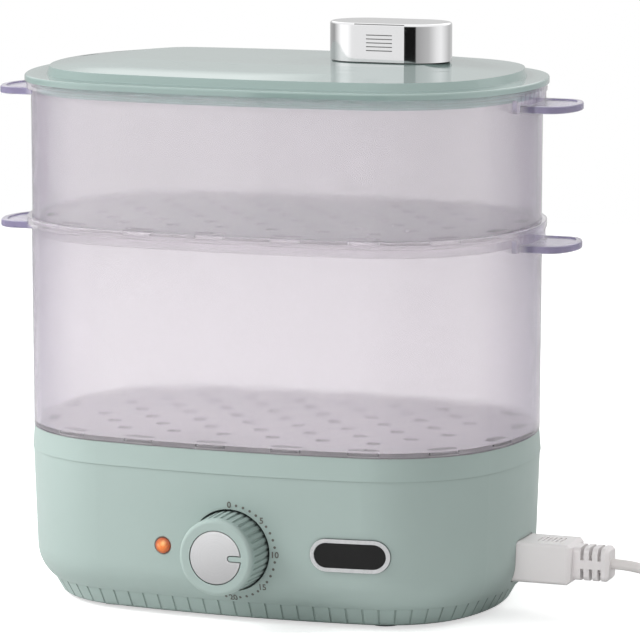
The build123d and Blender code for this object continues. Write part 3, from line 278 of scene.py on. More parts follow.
def put_out_skin(group, given, made, shade, wander, height):
    """Connect a surface group's shading, its change of roughness and its height."""
    plug(group, made["Colour"], toned(group, given["Colour"], shade))
    plug(group, made["Roughness"], maths(group, "ADD", given["Roughness"], wander))
    plug(group, made["Height"], height)


def build_moulded_grain():
    """Moulded plastic: a faint drift of colour and gloss, and a fine spark-eroded skin."""
    group, given, made = surface_group("moulded_grain", 0.95, 0.4)
    place = object_place(group)
    value = evened(group, noise(group, place, 14.0, 3.0), given["Shade"], 1.0)
    wander = evened(group, noise(group, place, 90.0, 4.0), -0.04, 0.04)
    put_out_skin(group, given, made, value, wander, noise(group, place, 2600.0))


def build_brushed_lines():
    """Brushed or rolled metal: fine lines drawn out along one direction."""
    group, given, made = surface_group("brushed_lines", 0.85, 0.35,
                                       ("Stretch", "NodeSocketVector", (60, 4000, 4000)))
    place = vector_maths(group, "MULTIPLY", object_place(group), given["Stretch"])
    lines = noise(group, place, 1.0, 3.0)
    value = evened(group, lines, given["Shade"], 1.0)
    put_out_skin(group, given, made, value, evened(group, lines, 0.08, -0.06), lines)


def build_spun_rings():
    """Turned or spun metal: fine rings round an axis. Across leaves out the axis's direction."""
    group, given, made = surface_group("spun_rings", 0.88, 0.3,
                                       ("Centre", "NodeSocketVector", (0, 0, 0)),
                                       ("Across", "NodeSocketVector", (1, 0, 1)))
    radius = distance(group, object_place(group), given["Centre"], given["Across"])
    rings = node(group, "ShaderNodeTexNoise", {"W": radius, "Scale": 5200.0, "Detail": 2.0},
                 noise_dimensions="1D").outputs[0]
    value = evened(group, rings, given["Shade"], 1.0)
    put_out_skin(group, given, made, value, evened(group, rings, 0.06, -0.05), rings)


def build_smudges():
    """Handled gloss: soft patches where a polished surface is a little duller."""
    group, given, made = new_group(
        "smudges", [("Roughness", "NodeSocketFloat", 0.1), ("Amount", "NodeSocketFloat", 0.06)],
        [("Roughness", "NodeSocketFloat", None)])
    place = object_place(group)
    patches = spread(group, noise(group, place, 38.0, 4.0), 0.0, 1.0, 0.5, 0.72)
    breaks = spread(group, noise(group, place, 420.0, 3.0), 0.4, 1.0)
    touched = maths(group, "MULTIPLY", patches, breaks)
    rise = maths(group, "MULTIPLY", touched, given["Amount"])
    plug(group, made["Roughness"], maths(group, "ADD", given["Roughness"], rise))


# =============================================================== finishes
finishes = {}


def new_finish(name):
    """New material, its node tree and its shader's inputs."""
    made = finishes[name] = bpy.data.materials.new(name + "_finish")
    made.use_nodes = True
    return made, made.node_tree, made.node_tree.nodes["Principled BSDF"].inputs


def effect(tree, group, values):
    """Outputs of a shared surface effect, placed with its own values."""
    return node(tree, "ShaderNodeGroup", values, node_tree=bpy.data.node_groups[group]).outputs


def smudged(tree, roughness, amount):
    """A roughness with handling marks on it."""
    return effect(tree, "smudges", {"Roughness": roughness, "Amount": amount})["Roughness"]


def relief(tree, shader, height, strength, depth, normal=None):
    """Fine height pattern as a bump on the shader's normal or a given one; depth in metres."""
    made = node(tree, "ShaderNodeBump", {"Height": height, "Strength": strength, "Distance": depth})
    if normal is not None:
        plug(tree, made.inputs["Normal"], normal)
    plug(tree, shader["Normal"], made.outputs[0])


def wear_skin(tree, shader, skin, strength, depth):
    """Connect a surface group's colour, roughness and height to the shader."""
    plug(tree, shader["Base Color"], skin["Colour"])
    plug(tree, shader["Roughness"], skin["Roughness"])
    relief(tree, shader, skin["Height"], strength, depth)


def hollows(tree, tint, reach, darkest):
    """A colour with painted shade: darker in grooves and gaps narrower than the reach."""
    # Painted shade: ambient occlusion darkens the colour where the surface is closed in.
    cover = node(tree, "ShaderNodeAmbientOcclusion", {"Distance": reach}, samples=8)
    return toned(tree, tint, spread(tree, cover.outputs["AO"], darkest, 1.0, 0.25, 0.85))


def moulded(name, tint, roughness, shade=0.95, grain=0.12):
    """Moulded plastic or rubber."""
    finish = finishes.get(name)
    if finish is None:
        finish, tree, shader = new_finish(name)
        skin = effect(tree, "moulded_grain",
                      {"Colour": tint, "Shade": shade, "Roughness": roughness})
        wear_skin(tree, shader, skin, strength=grain, depth=0.05 * MM)
    return finish


def brushed(name, tint, roughness, stretch=(60, 4000, 4000), shade=0.82):
    """Brushed, rolled or pressed metal."""
    finish = finishes.get(name)
    if finish is None:
        finish, tree, shader = new_finish(name)
        shader["Metallic"].default_value = 1.0
        skin = effect(tree, "brushed_lines", {"Colour": tint, "Shade": shade,
                                              "Roughness": roughness, "Stretch": stretch})
        wear_skin(tree, shader, skin, strength=0.12, depth=0.04 * MM)
    return finish


def spun(name, tint, roughness, centre, across, shade=0.88):
    """Turned or spun metal round an axis."""
    finish, tree, shader = new_finish(name)
    shader["Metallic"].default_value = 1.0
    skin = effect(tree, "spun_rings", {"Colour": tint, "Shade": shade, "Roughness": roughness,
                                       "Centre": centre, "Across": across})
    wear_skin(tree, shader, skin, strength=0.1, depth=0.03 * MM)
    return finish


def silver_disc(centre):
    """Spun disc with a painted sheen: its colour lighter at its upper left and darker at its lower
    right.
    """
    finish = spun("satin_metal", metals().silver, 0.34, centre=tuple(centre), across=(1, 0, 1))
    tree = finish.node_tree
    shader = tree.nodes["Principled BSDF"].inputs
    # Painted sheen and shade: the colour runs from lighter at the upper left to darker at the lower
    # right.
    away = vector_maths(tree, "SUBTRACT", object_place(tree), tuple(centre))
    painted_sheen = spread(tree, vector_maths(tree, "DOT_PRODUCT", away, (-0.3, 0, 0.95)),
                   0.76, 1.16, -11 * MM, 11 * MM)
    skin = shader["Base Color"].links[0].from_socket
    plug(tree, shader["Base Color"], toned(tree, skin, painted_sheen))
    return finish


def mint_shell():
    """Satin housing plastic, with painted shade in its grooves and round the knob."""
    if "mint_shell" in finishes:
        return finishes["mint_shell"]
    finish = moulded("mint_shell", plastics().mint, plastics().satin)
    tree = finish.node_tree
    shader = tree.nodes["Principled BSDF"].inputs
    skin = shader["Base Color"].links[0].from_socket
    # Painted shade in the grooves and in the gap round the knob.
    plug(tree, shader["Base Color"], hollows(tree, skin, reach=3.0 * MM, darkest=0.45))
    return finish


def dark_plastic():
    return moulded("dark_plastic", srgb("2E2E2F"), 0.45)


def wire_sheath(name, code, roughness=0.45):
    return moulded(name, srgb(code), roughness, shade=0.9, grain=0.2)


def white_wire():
    return wire_sheath("white_wire", "E4E4E0", 0.5)


def lead_sheath():
    return moulded("lead_sheath", plastics().lead, 0.38, shade=0.96, grain=0.1)


def steel():
    return brushed("steel", metals().steel, 0.34)


def brass():
    return brushed("brass", metals().brass, 0.3, stretch=(1500, 1500, 1500))


def chrome():
    """Plated metal with a few handling marks."""
    finish = finishes.get("chrome")
    if finish is None:
        finish, tree, shader = new_finish("chrome")
        shader["Metallic"].default_value = 1.0
        shader["Base Color"].default_value = metals().chrome
        plug(tree, shader["Roughness"], smudged(tree, roughness=0.07, amount=0.04))
        unevenness = noise(tree, object_place(tree), 260.0)
        relief(tree, shader, unevenness, strength=0.02, depth=0.02 * MM)
    return finish


def lid_gloss():
    """Glossy lid plastic, with the faint ring that its mould leaves round the handle."""
    finish, tree, shader = new_finish("mint_lid")
    shader["IOR"].default_value = 1.8
    skin = effect(tree, "moulded_grain", {"Colour": plastics().mint_lid, "Shade": 0.96,
                                          "Roughness": plastics().gloss})
    plug(tree, shader["Base Color"], skin["Colour"])
    plug(tree, shader["Roughness"], smudged(tree, skin["Roughness"], amount=0.05))
    centre = (sum(corner.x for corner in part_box("lid_handle")) / 2, PLAN_Y, 0.0)
    radius = distance(tree, object_place(tree), centre, (1, 1, 0))
    off_ring = maths(tree, "ABSOLUTE", maths(tree, "SUBTRACT", radius, MOULD_RING))
    ring = spread(tree, off_ring, 1.0, 0.0, *MOULD_RING_EDGE)
    height = maths(tree, "ADD", ring, maths(tree, "MULTIPLY", skin["Height"], 0.25))
    relief(tree, shader, height, strength=0.25, depth=0.05 * MM, normal=soft_crown(tree))
    return finish


def soft_crown(tree):
    """The lid's normal, turned upright by most of its tilt on the crown's upper part and on its
    right half, so that no crease shows in it."""
    normal = node(tree, "ShaderNodeNewGeometry").outputs["Normal"]
    deck_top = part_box("handle_gasket")[0].z
    low, high = deck_top - CROWN * 0.78, deck_top - CROWN * 0.4
    most = 0.75
    place = coordinates(tree, object_place(tree))
    right_half = spread(tree, place["X"], 0.0, most, 5 * MM, 50 * MM)
    upper_part = spread(tree, place["Z"], 0.0, most, low, high)
    on_deck = spread(tree, coordinates(tree, normal)["Z"], 0.0, 1.0, 0.97, 0.985)
    share_up = maths(tree, "MULTIPLY", maths(tree, "MAXIMUM", right_half, upper_part), on_deck)
    turned = node(tree, "ShaderNodeMix", {0: share_up, 4: normal, 5: (0.0, 0.0, 1.0)},
                  data_type="VECTOR")
    return vector_maths(tree, "NORMALIZE", turned.outputs[1])


def frosted(name, tint, edge, clearness, rise=0.0, shade=1.0):
    """Translucent plastic, clear or frosted, with a deeper tint where one looks along its walls
    and in the thick finger tabs. Rise is added to the tiers' roughness."""
    finish, tree, shader = new_finish(name)
    skin = effect(tree, "moulded_grain", {"Colour": tint, "Shade": shade,
                                          "Roughness": plastics().frost + rise})
    x = coordinates(tree, object_place(tree))["X"]
    at_tab = spread(tree, maths(tree, "ABSOLUTE", x), 0.0, 1.0, *TAB_ROOT)
    along = node(tree, "ShaderNodeLayerWeight", {"Blend": 0.5}).outputs["Facing"]
    wall = mixed(tree, spread(tree, along, 0.0, 1.0, 0.26, 0.8), skin["Colour"], edge)
    upright = coordinates(tree, node(tree, "ShaderNodeTexCoord").outputs["Normal"])["Z"]
    side = spread(tree, maths(tree, "ABSOLUTE", upright), 1.0, 0.0, 0.3, 0.8)
    tab = mixed(tree, side, plastics().tab_tint, plastics().tab_side)
    plug(tree, shader["Base Color"], mixed(tree, at_tab, wall, tab))
    plug(tree, shader["Roughness"], skin["Roughness"])
    relief(tree, shader, skin["Height"], strength=0.04, depth=0.05 * MM)
    shader["Transmission Weight"].default_value = clearness
    shader["IOR"].default_value = 1.35
    return finish


def lit_lens():
    """Amber pilot lamp's lens, lit from behind: orange, darker towards its rim, with two painted
    highlights that also glow, a pale spot at its left and a yellow spot at its upper right.
    """
    finish, tree, shader = new_finish("amber_lens")
    low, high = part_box("lamp_lens")
    centre = (low + high) / 2
    place = object_place(tree)

    def patch(dx, dz, middle, outside, start, end):
        """A value that changes with the distance from a spot on the lens; lengths in mm."""
        spot = (centre.x + dx * MM, 0, centre.z + dz * MM)
        return spread(tree, distance(tree, place, spot, (1, 0, 1)), middle, outside,
                      start * MM, end * MM)

    body = mixed(tree, patch(0, 0, 0.0, 1.0, 1.0, 3.1), srgb("EE8238"), srgb("A04A26"))
    # Painted highlights: a pale spot left of the middle, then a yellow spot at the upper right; the
    # emission takes them too.
    side = mixed(tree, patch(-1.5, 0.1, 0.7, 0.0, 0.2, 1.0), body, srgb("FFB890"))
    glow = mixed(tree, patch(0.6, 1.1, 1.0, 0.0, 0.3, 1.5), side, srgb("FFE0A0"))
    streaks = evened(tree, noise(tree, place, 900.0, 3.0), 0.8, 1.05)
    plug(tree, shader["Emission Color"], toned(tree, glow, streaks))
    plug(tree, shader["Base Color"], toned(tree, body, maths(tree, "MULTIPLY", streaks, 0.7)))
    plug(tree, shader["Roughness"], smudged(tree, roughness=0.12, amount=0.1))
    shader["Emission Strength"].default_value = 0.6
    shader["Coat Weight"].default_value = 0.3
    return finish


def lamp_glass():
    """Glass envelope of the neon lamp, its gas glowing warm."""
    finish, tree, shader = new_finish("lamp_glass")
    shader["Transmission Weight"].default_value = 0.9
    shader["Emission Strength"].default_value = 0.4
    flicker = evened(tree, noise(tree, object_place(tree), 500.0), 0.0, 1.0)
    glow = mixed(tree, flicker, srgb("F7A66A"), srgb("FFCFA0"))
    plug(tree, shader["Base Color"], glow)
    plug(tree, shader["Emission Color"], glow)
    plug(tree, shader["Roughness"], smudged(tree, roughness=0.05, amount=0.08))
    return finish


def dial_ink():
    """Pad-printed ink, slightly uneven in density."""
    finish, tree, shader = new_finish("dial_ink")
    place = object_place(tree)
    density = evened(tree, noise(tree, place, 1800.0, 3.0), 0.9, 1.15)
    plug(tree, shader["Base Color"], toned(tree, plastics().ink, density))
    plug(tree, shader["Roughness"], spread(tree, noise(tree, place, 700.0), 0.5, 0.62))
    return finish


# =============================================================== pieces
dressed = set()


def dress(finish, *names):
    """Give CAD nodes their finish."""
    for name in names:
        held = nodes[name].data.materials
        held.clear()
        held.append(finish)
        dressed.add(name)


def dress_faces(name, finish, chosen):
    """Give a node's chosen faces a finish of their own."""
    mesh = nodes[name].data
    mesh.materials.append(finish)
    for face in mesh.polygons:
        if chosen(face):
            face.material_index = len(mesh.materials) - 1


def new_piece(name, data, body):
    """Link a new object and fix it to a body."""
    made = bpy.data.objects.new(name, data)
    bpy.context.collection.objects.link(made)
    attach(made, body)
    return made


class STEAMER_OT_housing(bpy.types.Operator):
    """Dress the base shell, the fluted cover, the water tank and the feet"""
    bl_idname = "steamer.housing"
    bl_label = "Housing"

    def execute(self, context):
        dress(mint_shell(), "base_shell", "bottom_cover", "water_tank")
        dress(moulded("dark_rubber", srgb("55565A"), 0.72, shade=0.85, grain=0.3), "rubber_feet")
        dress(steel(), "cover_screws")
        return {"FINISHED"}


class STEAMER_OT_heater(bpy.types.Operator):
    """Dress the heating plate, its seal and clamp, the element and the thermostat"""
    bl_idname = "steamer.heater"
    bl_label = "Heater"

    def execute(self, context):
        plate = spun("plate_steel", metals().steel, 0.26, centre=(0, PLAN_Y, 0),
                     across=(1, 1, 0), shade=0.8)
        dress(plate, "heating_plate", "plate_clamp")
        dress(moulded("seal_rubber", srgb("C9CAC8"), 0.66, shade=0.9, grain=0.25), "plate_seal")
        aluminium = brushed("pressed_aluminium", srgb("B4B5B6"), 0.42, stretch=(700, 700, 700))
        dress(aluminium, "heating_element")
        dress(dark_plastic(), "thermostat")
        dress(steel(), "clamp_screws", "thermostat_strap", "strap_screws")
        dress(white_wire(), "thermal_fuse")
        return {"FINISHED"}


class STEAMER_OT_timer(bpy.types.Operator):
    """Dress the clockwork timer: case, bell, gears and spring"""
    bl_idname = "steamer.timer"
    bl_label = "Timer"

    def execute(self, context):
        dress(steel(), "timer_case", "timer_plate", "timer_screws", "timer_shaft", "mainspring")
        dress(brass(), "timer_terminals", "main_gear", "spring_barrel", "escape_wheel")
        low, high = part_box("timer_bell")
        bell = spun("bell_steel", metals().steel, 0.24, centre=tuple((low + high) / 2),
                    across=(1, 0, 1), shade=0.85)
        dress(bell, "timer_bell")
        return {"FINISHED"}


class STEAMER_OT_dial(bpy.types.Operator):
    """Dress the dial's knob and its metal disc"""
    bl_idname = "steamer.dial"
    bl_label = "Dial"

    def execute(self, context):
        dress(mint_shell(), "timer_knob")
        low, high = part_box("timer_knob")
        dress(silver_disc((low + high) / 2), "knob_disc")
        return {"FINISHED"}


def digit_outline(label, height):
    """Corner points and faces of a printed number, flat and centred, in metres."""
    curve = bpy.data.curves.new("number", "FONT")
    curve.body = label
    # The font's digits stand 0.72 of its size. The offset makes their strokes a little bolder.
    curve.size = height / 0.72
    curve.offset = height / 40
    curve.resolution_u = 4
    text = bpy.data.objects.new("number", curve)
    mesh = bpy.data.meshes.new_from_object(text)
    points = [(vertex.co.x, vertex.co.y) for vertex in mesh.vertices]
    faces = [tuple(face.vertices) for face in mesh.polygons]
    bpy.data.meshes.remove(mesh)
    bpy.data.objects.remove(text)
    bpy.data.curves.remove(curve)
    middle = [(min(p[k] for p in points) + max(p[k] for p in points)) / 2 for k in (0, 1)]
    return [(x - middle[0], y - middle[1]) for x, y in points], faces


def round_outline(radius, sides):
    """Corner points and the one face of a flat disc."""
    turns = [2 * math.pi * k / sides for k in range(sides)]
    return [(radius * math.cos(t), radius * math.sin(t)) for t in turns], [tuple(range(sides))]


class STEAMER_OT_dial_scale(bpy.types.Operator):
    """Print the dial's minutes on the housing: a number at every fifth, dots between"""
    bl_idname = "steamer.dial_scale"
    bl_label = "Dial scale"

    def execute(self, context):
        sizes = context.scene.steamer_dial
        low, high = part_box("timer_knob")
        centre = (low + high) / 2
        shell = nodes["base_shell"]
        skin = BVHTree.FromPolygons([vertex.co for vertex in shell.data.vertices],
                                    [tuple(face.vertices) for face in shell.data.polygons])
        points, faces = [], []
        for minute in range(MINUTES + 1):
            turn = math.radians(MINUTE_TURN * minute)
            if minute % NUMBERED:
                radius, (shape, sides) = sizes.dot_ring, round_outline(sizes.dot / 2, DOT_SIDES)
            else:
                radius, (shape, sides) = sizes.digit_ring, digit_outline(str(minute), sizes.digit)
            x = centre.x + radius * math.sin(turn)
            z = centre.z - sizes.drop + radius * math.cos(turn)
            first = len(points)
            for dx, dz in shape:
                ahead = Vector((x + dx, low.y - 50 * MM, z + dz))
                hit = skin.ray_cast(ahead, Vector((0, 1, 0)))[0]
                points.append((x + dx, hit.y - INK_LIFT, z + dz))
            faces += [tuple(first + k for k in side) for side in sides]
        mesh = bpy.data.meshes.new("dial_scale")
        mesh.from_pydata(points, [], faces)
        mesh.materials.append(dial_ink())
        new_piece("dial_scale", mesh, "base")
        return {"FINISHED"}


class STEAMER_OT_lamp(bpy.types.Operator):
    """Dress the pilot lamp, its holder and its lit lens"""
    bl_idname = "steamer.lamp"
    bl_label = "Pilot lamp"

    def execute(self, context):
        dress(lit_lens(), "lamp_lens")
        dress(lamp_glass(), "neon_lamp")
        dress(dark_plastic(), "lamp_holder")
        return {"FINISHED"}


class STEAMER_OT_badge(bpy.types.Operator):
    """Dress the bare badge: chrome ring and glossy black inlay"""
    bl_idname = "steamer.badge"
    bl_label = "Badge"

    def execute(self, context):
        ring = brushed("badge_ring", srgb("D0D1D2"), 0.22, stretch=(60, 4000, 60), shade=0.94)
        dress(ring, "badge_frame")
        inlay = moulded("black_inlay", srgb("161616"), 0.16, shade=0.9, grain=0.02)
        inlay.node_tree.nodes["Principled BSDF"].inputs["Specular IOR Level"].default_value = 0.25
        dress(inlay, "badge_plate")
        return {"FINISHED"}


class STEAMER_OT_wiring(bpy.types.Operator):
    """Dress the mains inlet and the loose wires inside the base"""
    bl_idname = "steamer.wiring"
    bl_label = "Inlet and wiring"

    def execute(self, context):
        dress(moulded("pale_plastic", srgb("D4D8D6"), 0.4), "inlet_socket")
        dress(brass(), "inlet_pins")
        dress(steel(), "inlet_screws")
        dress(white_wire(), "wire_element", "wire_return", "wire_lamp")
        dress(wire_sheath("blue_wire", "3C6EA8"), "wire_neutral")
        dress(wire_sheath("brown_wire", "7A4A2C"), "wire_live", "wire_switched")
        return {"FINISHED"}


class STEAMER_OT_tiers(bpy.types.Operator):
    """Dress the drip tray and the two frosted tiers"""
    bl_idname = "steamer.tiers"
    bl_label = "Tiers"

    def execute(self, context):
        tints = plastics()
        tint, rim_tint, thick = tints.frosted, tints.rim_tint, tints.floor_tint
        pale, tray = tints.under_tint, tints.tray_tint
        wall = frosted("frosted_tier", tint, tints.edge_tint, clearness=0.83, shade=0.98)
        floor = frosted("frosted_floor", thick, thick, clearness=0.3, rise=0.25, shade=0.96)
        # Painted light: a paler copy of the floor's finish, given to the floors' undersides.
        under = frosted("frosted_underside", pale, pale, clearness=0.3, rise=0.25)
        rim = frosted("clear_rim", tint, rim_tint, clearness=0.88, rise=-0.07)
        skirt = frosted("clear_skirt", tint, rim_tint, clearness=0.97, rise=-0.07)
        tab = frosted("tab_plastic", tint, tint, clearness=0.5, rise=0.05)
        dull = frosted("frosted_tray", tray, tray, clearness=0.25, rise=0.25, shade=0.96)
        dress(dull, "drip_tray")
        dress(wall, "lower_tier", "upper_tier")
        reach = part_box("lid")[1].x + 0.5 * MM
        for name in ("lower_tier", "upper_tier"):
            low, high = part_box(name)
            floor_end, skirt_end = low.z + FLOOR_ZONE, low.z + SKIRT_ZONE
            rim_start = high.z - RIM_ZONE
            dress_faces(name, floor,
                        lambda face: abs(face.normal.z) > 0.7 and face.center.z < floor_end)
            dress_faces(name, under,
                        lambda face: face.normal.z < -0.7 and face.center.z < floor_end)
            dress_faces(name, rim, lambda face: face.center.z > rim_start)
            dress_faces(name, skirt, lambda face: face.center.z < skirt_end)
            dress_faces(name, tab, lambda face: abs(face.center.x) > reach)
        return {"FINISHED"}


def in_vent(face):
    """Whether a face of the lid is a steam vent's wall."""
    x, y = face.center.x / MM, (face.center.y - PLAN_Y) / MM
    return abs(face.normal.z) < 0.5 and any(
        math.hypot(x - vent_x, y - vent_y) < half + 0.3 for vent_x, vent_y, half in VENTS)


class STEAMER_OT_lid(bpy.types.Operator):
    """Dress the lid and its plated handle"""
    bl_idname = "steamer.lid"
    bl_label = "Lid and handle"

    def execute(self, context):
        dress(lid_gloss(), "lid")
        skirt_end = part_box("lid")[0].z + SKIRT_ZONE
        # Painted light: the lid's skirt is coloured lighter and greener than the lid, where it sits
        # in shade inside the tier.
        dress_faces("lid", moulded("lid_skirt_painted_light", srgb("8BACA4"), 0.3),
                    lambda face: face.center.z < skirt_end)
        # Painted shade: the steam vents' walls are coloured much darker than the lid.
        dress_faces("lid", moulded("vent_walls_painted_shade", srgb("566764"), 0.5), in_vent)
        dress(chrome(), "lid_handle")
        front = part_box("lid_handle")[0].y
        engraved = brushed("engraved_metal", srgb("8C8C8C"), 0.4, stretch=(60, 60, 4000))
        dress_faces("lid_handle", engraved,
                    lambda face: front + ENGRAVING[0] < face.center.y < front + ENGRAVING[1]
                    and abs(face.normal.x) < 0.01)
        dress(dark_plastic(), "handle_gasket")
        dress(steel(), "handle_screws")
        return {"FINISHED"}


def coil_points(centre, radius, thickness):
    """Control points of the wound lead: two layers of three turns and one turn on top, in mm."""
    low, rise = thickness / 2 + 0.05, thickness
    outer, inner = radius + thickness, radius - thickness
    points = []
    for step in range(COIL_STEPS):
        turn = step / COIL_STEPS_PER_TURN
        if turn < 2:
            r, z = outer - thickness * turn, low
        elif turn < 3:
            r, z = inner, low + rise * max(0.0, turn - 2.5) * 2
        elif turn < 5:
            r, z = inner + thickness * (turn - 3), low + rise
        elif turn < 6:
            r, z = outer, low + rise
        else:
            up = min(1.0, (turn - 6) * 3)
            r, z = outer - (outer - radius) * up, low + rise * (1 + up)
        angle = math.radians(-90 + 360 * turn)
        reach = r / CURVE_SHRINK
        points.append((centre[0] + reach * math.cos(angle), centre[1] + reach * math.sin(angle), z))
    return points


class STEAMER_OT_lead(bpy.types.Operator):
    """Lay the mains lead down from the connector, wind it up and lead it into its plug"""
    bl_idname = "steamer.lead"
    bl_label = "Mains lead"

    def execute(self, context):
        sizes = context.scene.steamer_lead
        thickness, radius = sizes.diameter / MM, sizes.coil_radius / MM
        boot_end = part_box("connector_body")[1].x / MM
        boot_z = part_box("cord_lead")[1].z / MM - thickness / 2
        plug_x = sum(corner.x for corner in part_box("mains_plug")) / 2 / MM
        coil_x, coil_y, low = plug_x - COIL_TO_PLUG, COIL_BACK, thickness / 2 + 0.05
        entry_y = coil_y - radius - thickness
        top = 5 * thickness / 2 + 0.2
        route = [(boot_end, 0, boot_z), (boot_end + 13, 0, boot_z), (boot_end + 26.5, -1.8, 16.0),
                 (boot_end + 39, -4.3, 7.5), (boot_end + 51.5, entry_y, low),
                 (boot_end + 64, entry_y, low)]
        route += coil_points((coil_x, coil_y), radius, thickness)
        exit_x = coil_x + radius
        route += [(exit_x, coil_y + 20, top), (exit_x, coil_y + 28, top),
                  (exit_x + 1, coil_y + 42, 7.0), (exit_x + 1, coil_y + 50, 7.0)]
        curve = bpy.data.curves.new("mains_lead", "CURVE")
        curve.dimensions = "3D"
        curve.bevel_depth = sizes.diameter / 2
        curve.bevel_resolution = 5
        curve.use_fill_caps = True
        spline = curve.splines.new("NURBS")
        spline.points.add(len(route) - 1)
        for point, (x, y, z) in zip(spline.points, route):
            point.co = (x * MM, y * MM + PLAN_Y, z * MM, 1.0)
        spline.order_u = 3
        spline.use_endpoint_u = True
        spline.resolution_u = 6
        curve.materials.append(lead_sheath())
        lead = new_piece("mains_lead", curve, "cord_set")
        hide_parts("cord_lead", "cord_coil", "cord_tail")
        plastic = moulded("lead_plastic", plastics().connector, 0.4, shade=0.95, grain=0.16)
        dress(plastic, "connector_body", "mains_plug")
        dress(brass(), "connector_contacts", "plug_blades")
        dress(lead_sheath(), "cord_lead", "cord_coil", "cord_tail")
        return {"FINISHED"}


# =============================================================== stage
# The round paper floor, in metres.
FLOOR_RADIUS = 1.25
FLOOR_SIDES = 96
# How much brighter the floor and the air look from something inside clear plastic.
FLOOR_WITHIN = 3.5
AIR_WITHIN = 3.2
# Brightness of the studio that glossy surfaces mirror, by azimuth from the front: a window-like
# soft box on the left, a dark gap straight ahead, a white wall on the right and a dim back.
MIRRORED = ((-180, 0.66), (-104, 0.4), (-82, 0.95), (-68, 1.35), (-45, 1.35), (-27, 1.0),
            (-18, 1.0), (-16.8, 0.01), (17.5, 0.01), (20, 0.42), (60, 0.6), (88, 0.98),
            (106, 1.1), (150, 0.58), (180, 0.66))
# Higher up it turns to a bright ceiling, in full from this height of the direction on.
OVERHEAD = 1.15
OVERHEAD_HEIGHT = 0.48
# Behind the appliance, a backdrop adds this much above the horizon.
BACKDROP = 0.7
# Brightness that glossy surfaces mirror from inside clear plastic.
MIRRORED_WITHIN = 0.9
# Direction that the soft light is weakest from: the right front.
WEAK_SIDE = (0.64, -0.77, 0.0)

# The lights: size in metres, azimuth and elevation in degrees, distance from the target in
# metres. The target stands at the lit height.
LIGHTS = {"key": (0.7, -61.0, 38.0, 1.3), "fill": (0.8, 126.0, 35.0, 1.4),
          "front": (0.6, -8.0, 22.0, 1.5), "connector_light": (0.5, 32.0, 26.0, 1.2),
          "lid_light": (0.6, 62.0, 22.0, 1.3)}
LIT_HEIGHT = 0.12

# The camera: focal length and picture width in pixels, sensor width in mm, lens shift, the
# height that it looks at and the direction that it stands in.
FOCAL_PIXELS = 4440.6
PICTURE_PIXELS = 640
SENSOR = 36.0
LENS_SHIFT = (0.05225, -0.0008)
LOOK_HEIGHT = 0.1189
CAMERA_WAY = (0.3489, -0.9254, 0.1480)


def seen_level(tree, brighter):
    """Whether the eye sees it directly or through plastic, and how bright it is then: brighter
    where its light falls through plastic onto something inside."""
    path = node(tree, "ShaderNodeLightPath").outputs
    seen = maths(tree, "MAXIMUM", path["Is Camera Ray"], path["Is Transmission Ray"])
    inside = maths(tree, "MINIMUM", path["Diffuse Depth"], 1.0)
    return seen, blended(tree, inside, 1.0, brighter)


def floor_paper():
    """White paper floor that keeps the shadow on it."""
    finish = bpy.data.materials.new("floor_paper")
    finish.use_nodes = True
    tree = finish.node_tree
    tree.nodes.clear()
    paper = node(tree, "ShaderNodeBsdfDiffuse", {"Color": (0.82, 0.82, 0.82, 1)})
    seen, level = seen_level(tree, FLOOR_WITHIN)
    lifted = maths(tree, "MULTIPLY", level, bpy.context.scene.steamer_stage.paper)
    extra = maths(tree, "MULTIPLY", seen, lifted)
    lift = node(tree, "ShaderNodeEmission", {"Strength": extra})
    both = node(tree, "ShaderNodeAddShader", {0: paper.outputs[0], 1: lift.outputs[0]})
    node(tree, "ShaderNodeOutputMaterial", {"Surface": both.outputs[0]})
    return finish


def mirrored_studio(tree, way):
    """Brightness of the studio that glossy surfaces mirror, by direction."""
    x, y, z = coordinates(tree, way)
    azimuth = maths(tree, "ARCTAN2", x, maths(tree, "MULTIPLY", y, -1.0))
    ramp = node(tree, "ShaderNodeValToRGB", {0: spread(tree, azimuth, 0.0, 1.0, -math.pi, math.pi)})
    stops = ramp.color_ramp.elements
    while len(stops) < len(MIRRORED):
        stops.new(0.5)
    for stop, (angle, value) in zip(stops, MIRRORED):
        stop.position = (angle + 180) / 360
        stop.color = (value / 2, value / 2, value / 2, 1)
    round_about = maths(tree, "MULTIPLY", ramp.outputs[0], 2.0)
    level = blended(tree, spread(tree, z, 0.0, 1.0, 0.0, OVERHEAD_HEIGHT), round_about, OVERHEAD)
    # The backdrop fades in where a direction leads well to the back and a little upwards.
    backdrop = maths(tree, "MULTIPLY", spread(tree, y, 0.0, BACKDROP, 0.5, 0.8),
                     spread(tree, z, 0.0, 1.0, 0.2, 0.34))
    return maths(tree, "ADD", level, backdrop)


def studio(tree, sky):
    """Brightness of the surroundings by direction: white to the eye, a studio to anything glossy,
    plain white inside clear plastic, and soft light, weaker from the right front, to the rest."""
    way = node(tree, "ShaderNodeTexCoord").outputs["Generated"]
    path = node(tree, "ShaderNodeLightPath").outputs
    within = maths(tree, "MINIMUM", path["Transmission Depth"], 1.0)
    mirrored = blended(tree, within, mirrored_studio(tree, way), MIRRORED_WITHIN)
    towards = vector_maths(tree, "DOT_PRODUCT", way, WEAK_SIDE)
    soft = maths(tree, "MULTIPLY", spread(tree, towards, 1.0, 0.4, -0.4, 0.8), sky)
    lit = blended(tree, path["Is Glossy Ray"], soft, mirrored)
    seen, level = seen_level(tree, AIR_WITHIN)
    return blended(tree, seen, lit, level)


def new_floor():
    """Round sheet of paper under the appliance."""
    mesh = bpy.data.meshes.new("floor")
    points, faces = round_outline(FLOOR_RADIUS, FLOOR_SIDES)
    mesh.from_pydata([(x, y, 0) for x, y in points], [], faces)
    mesh.materials.append(floor_paper())
    made = bpy.data.objects.new("floor", mesh)
    bpy.context.collection.objects.link(made)


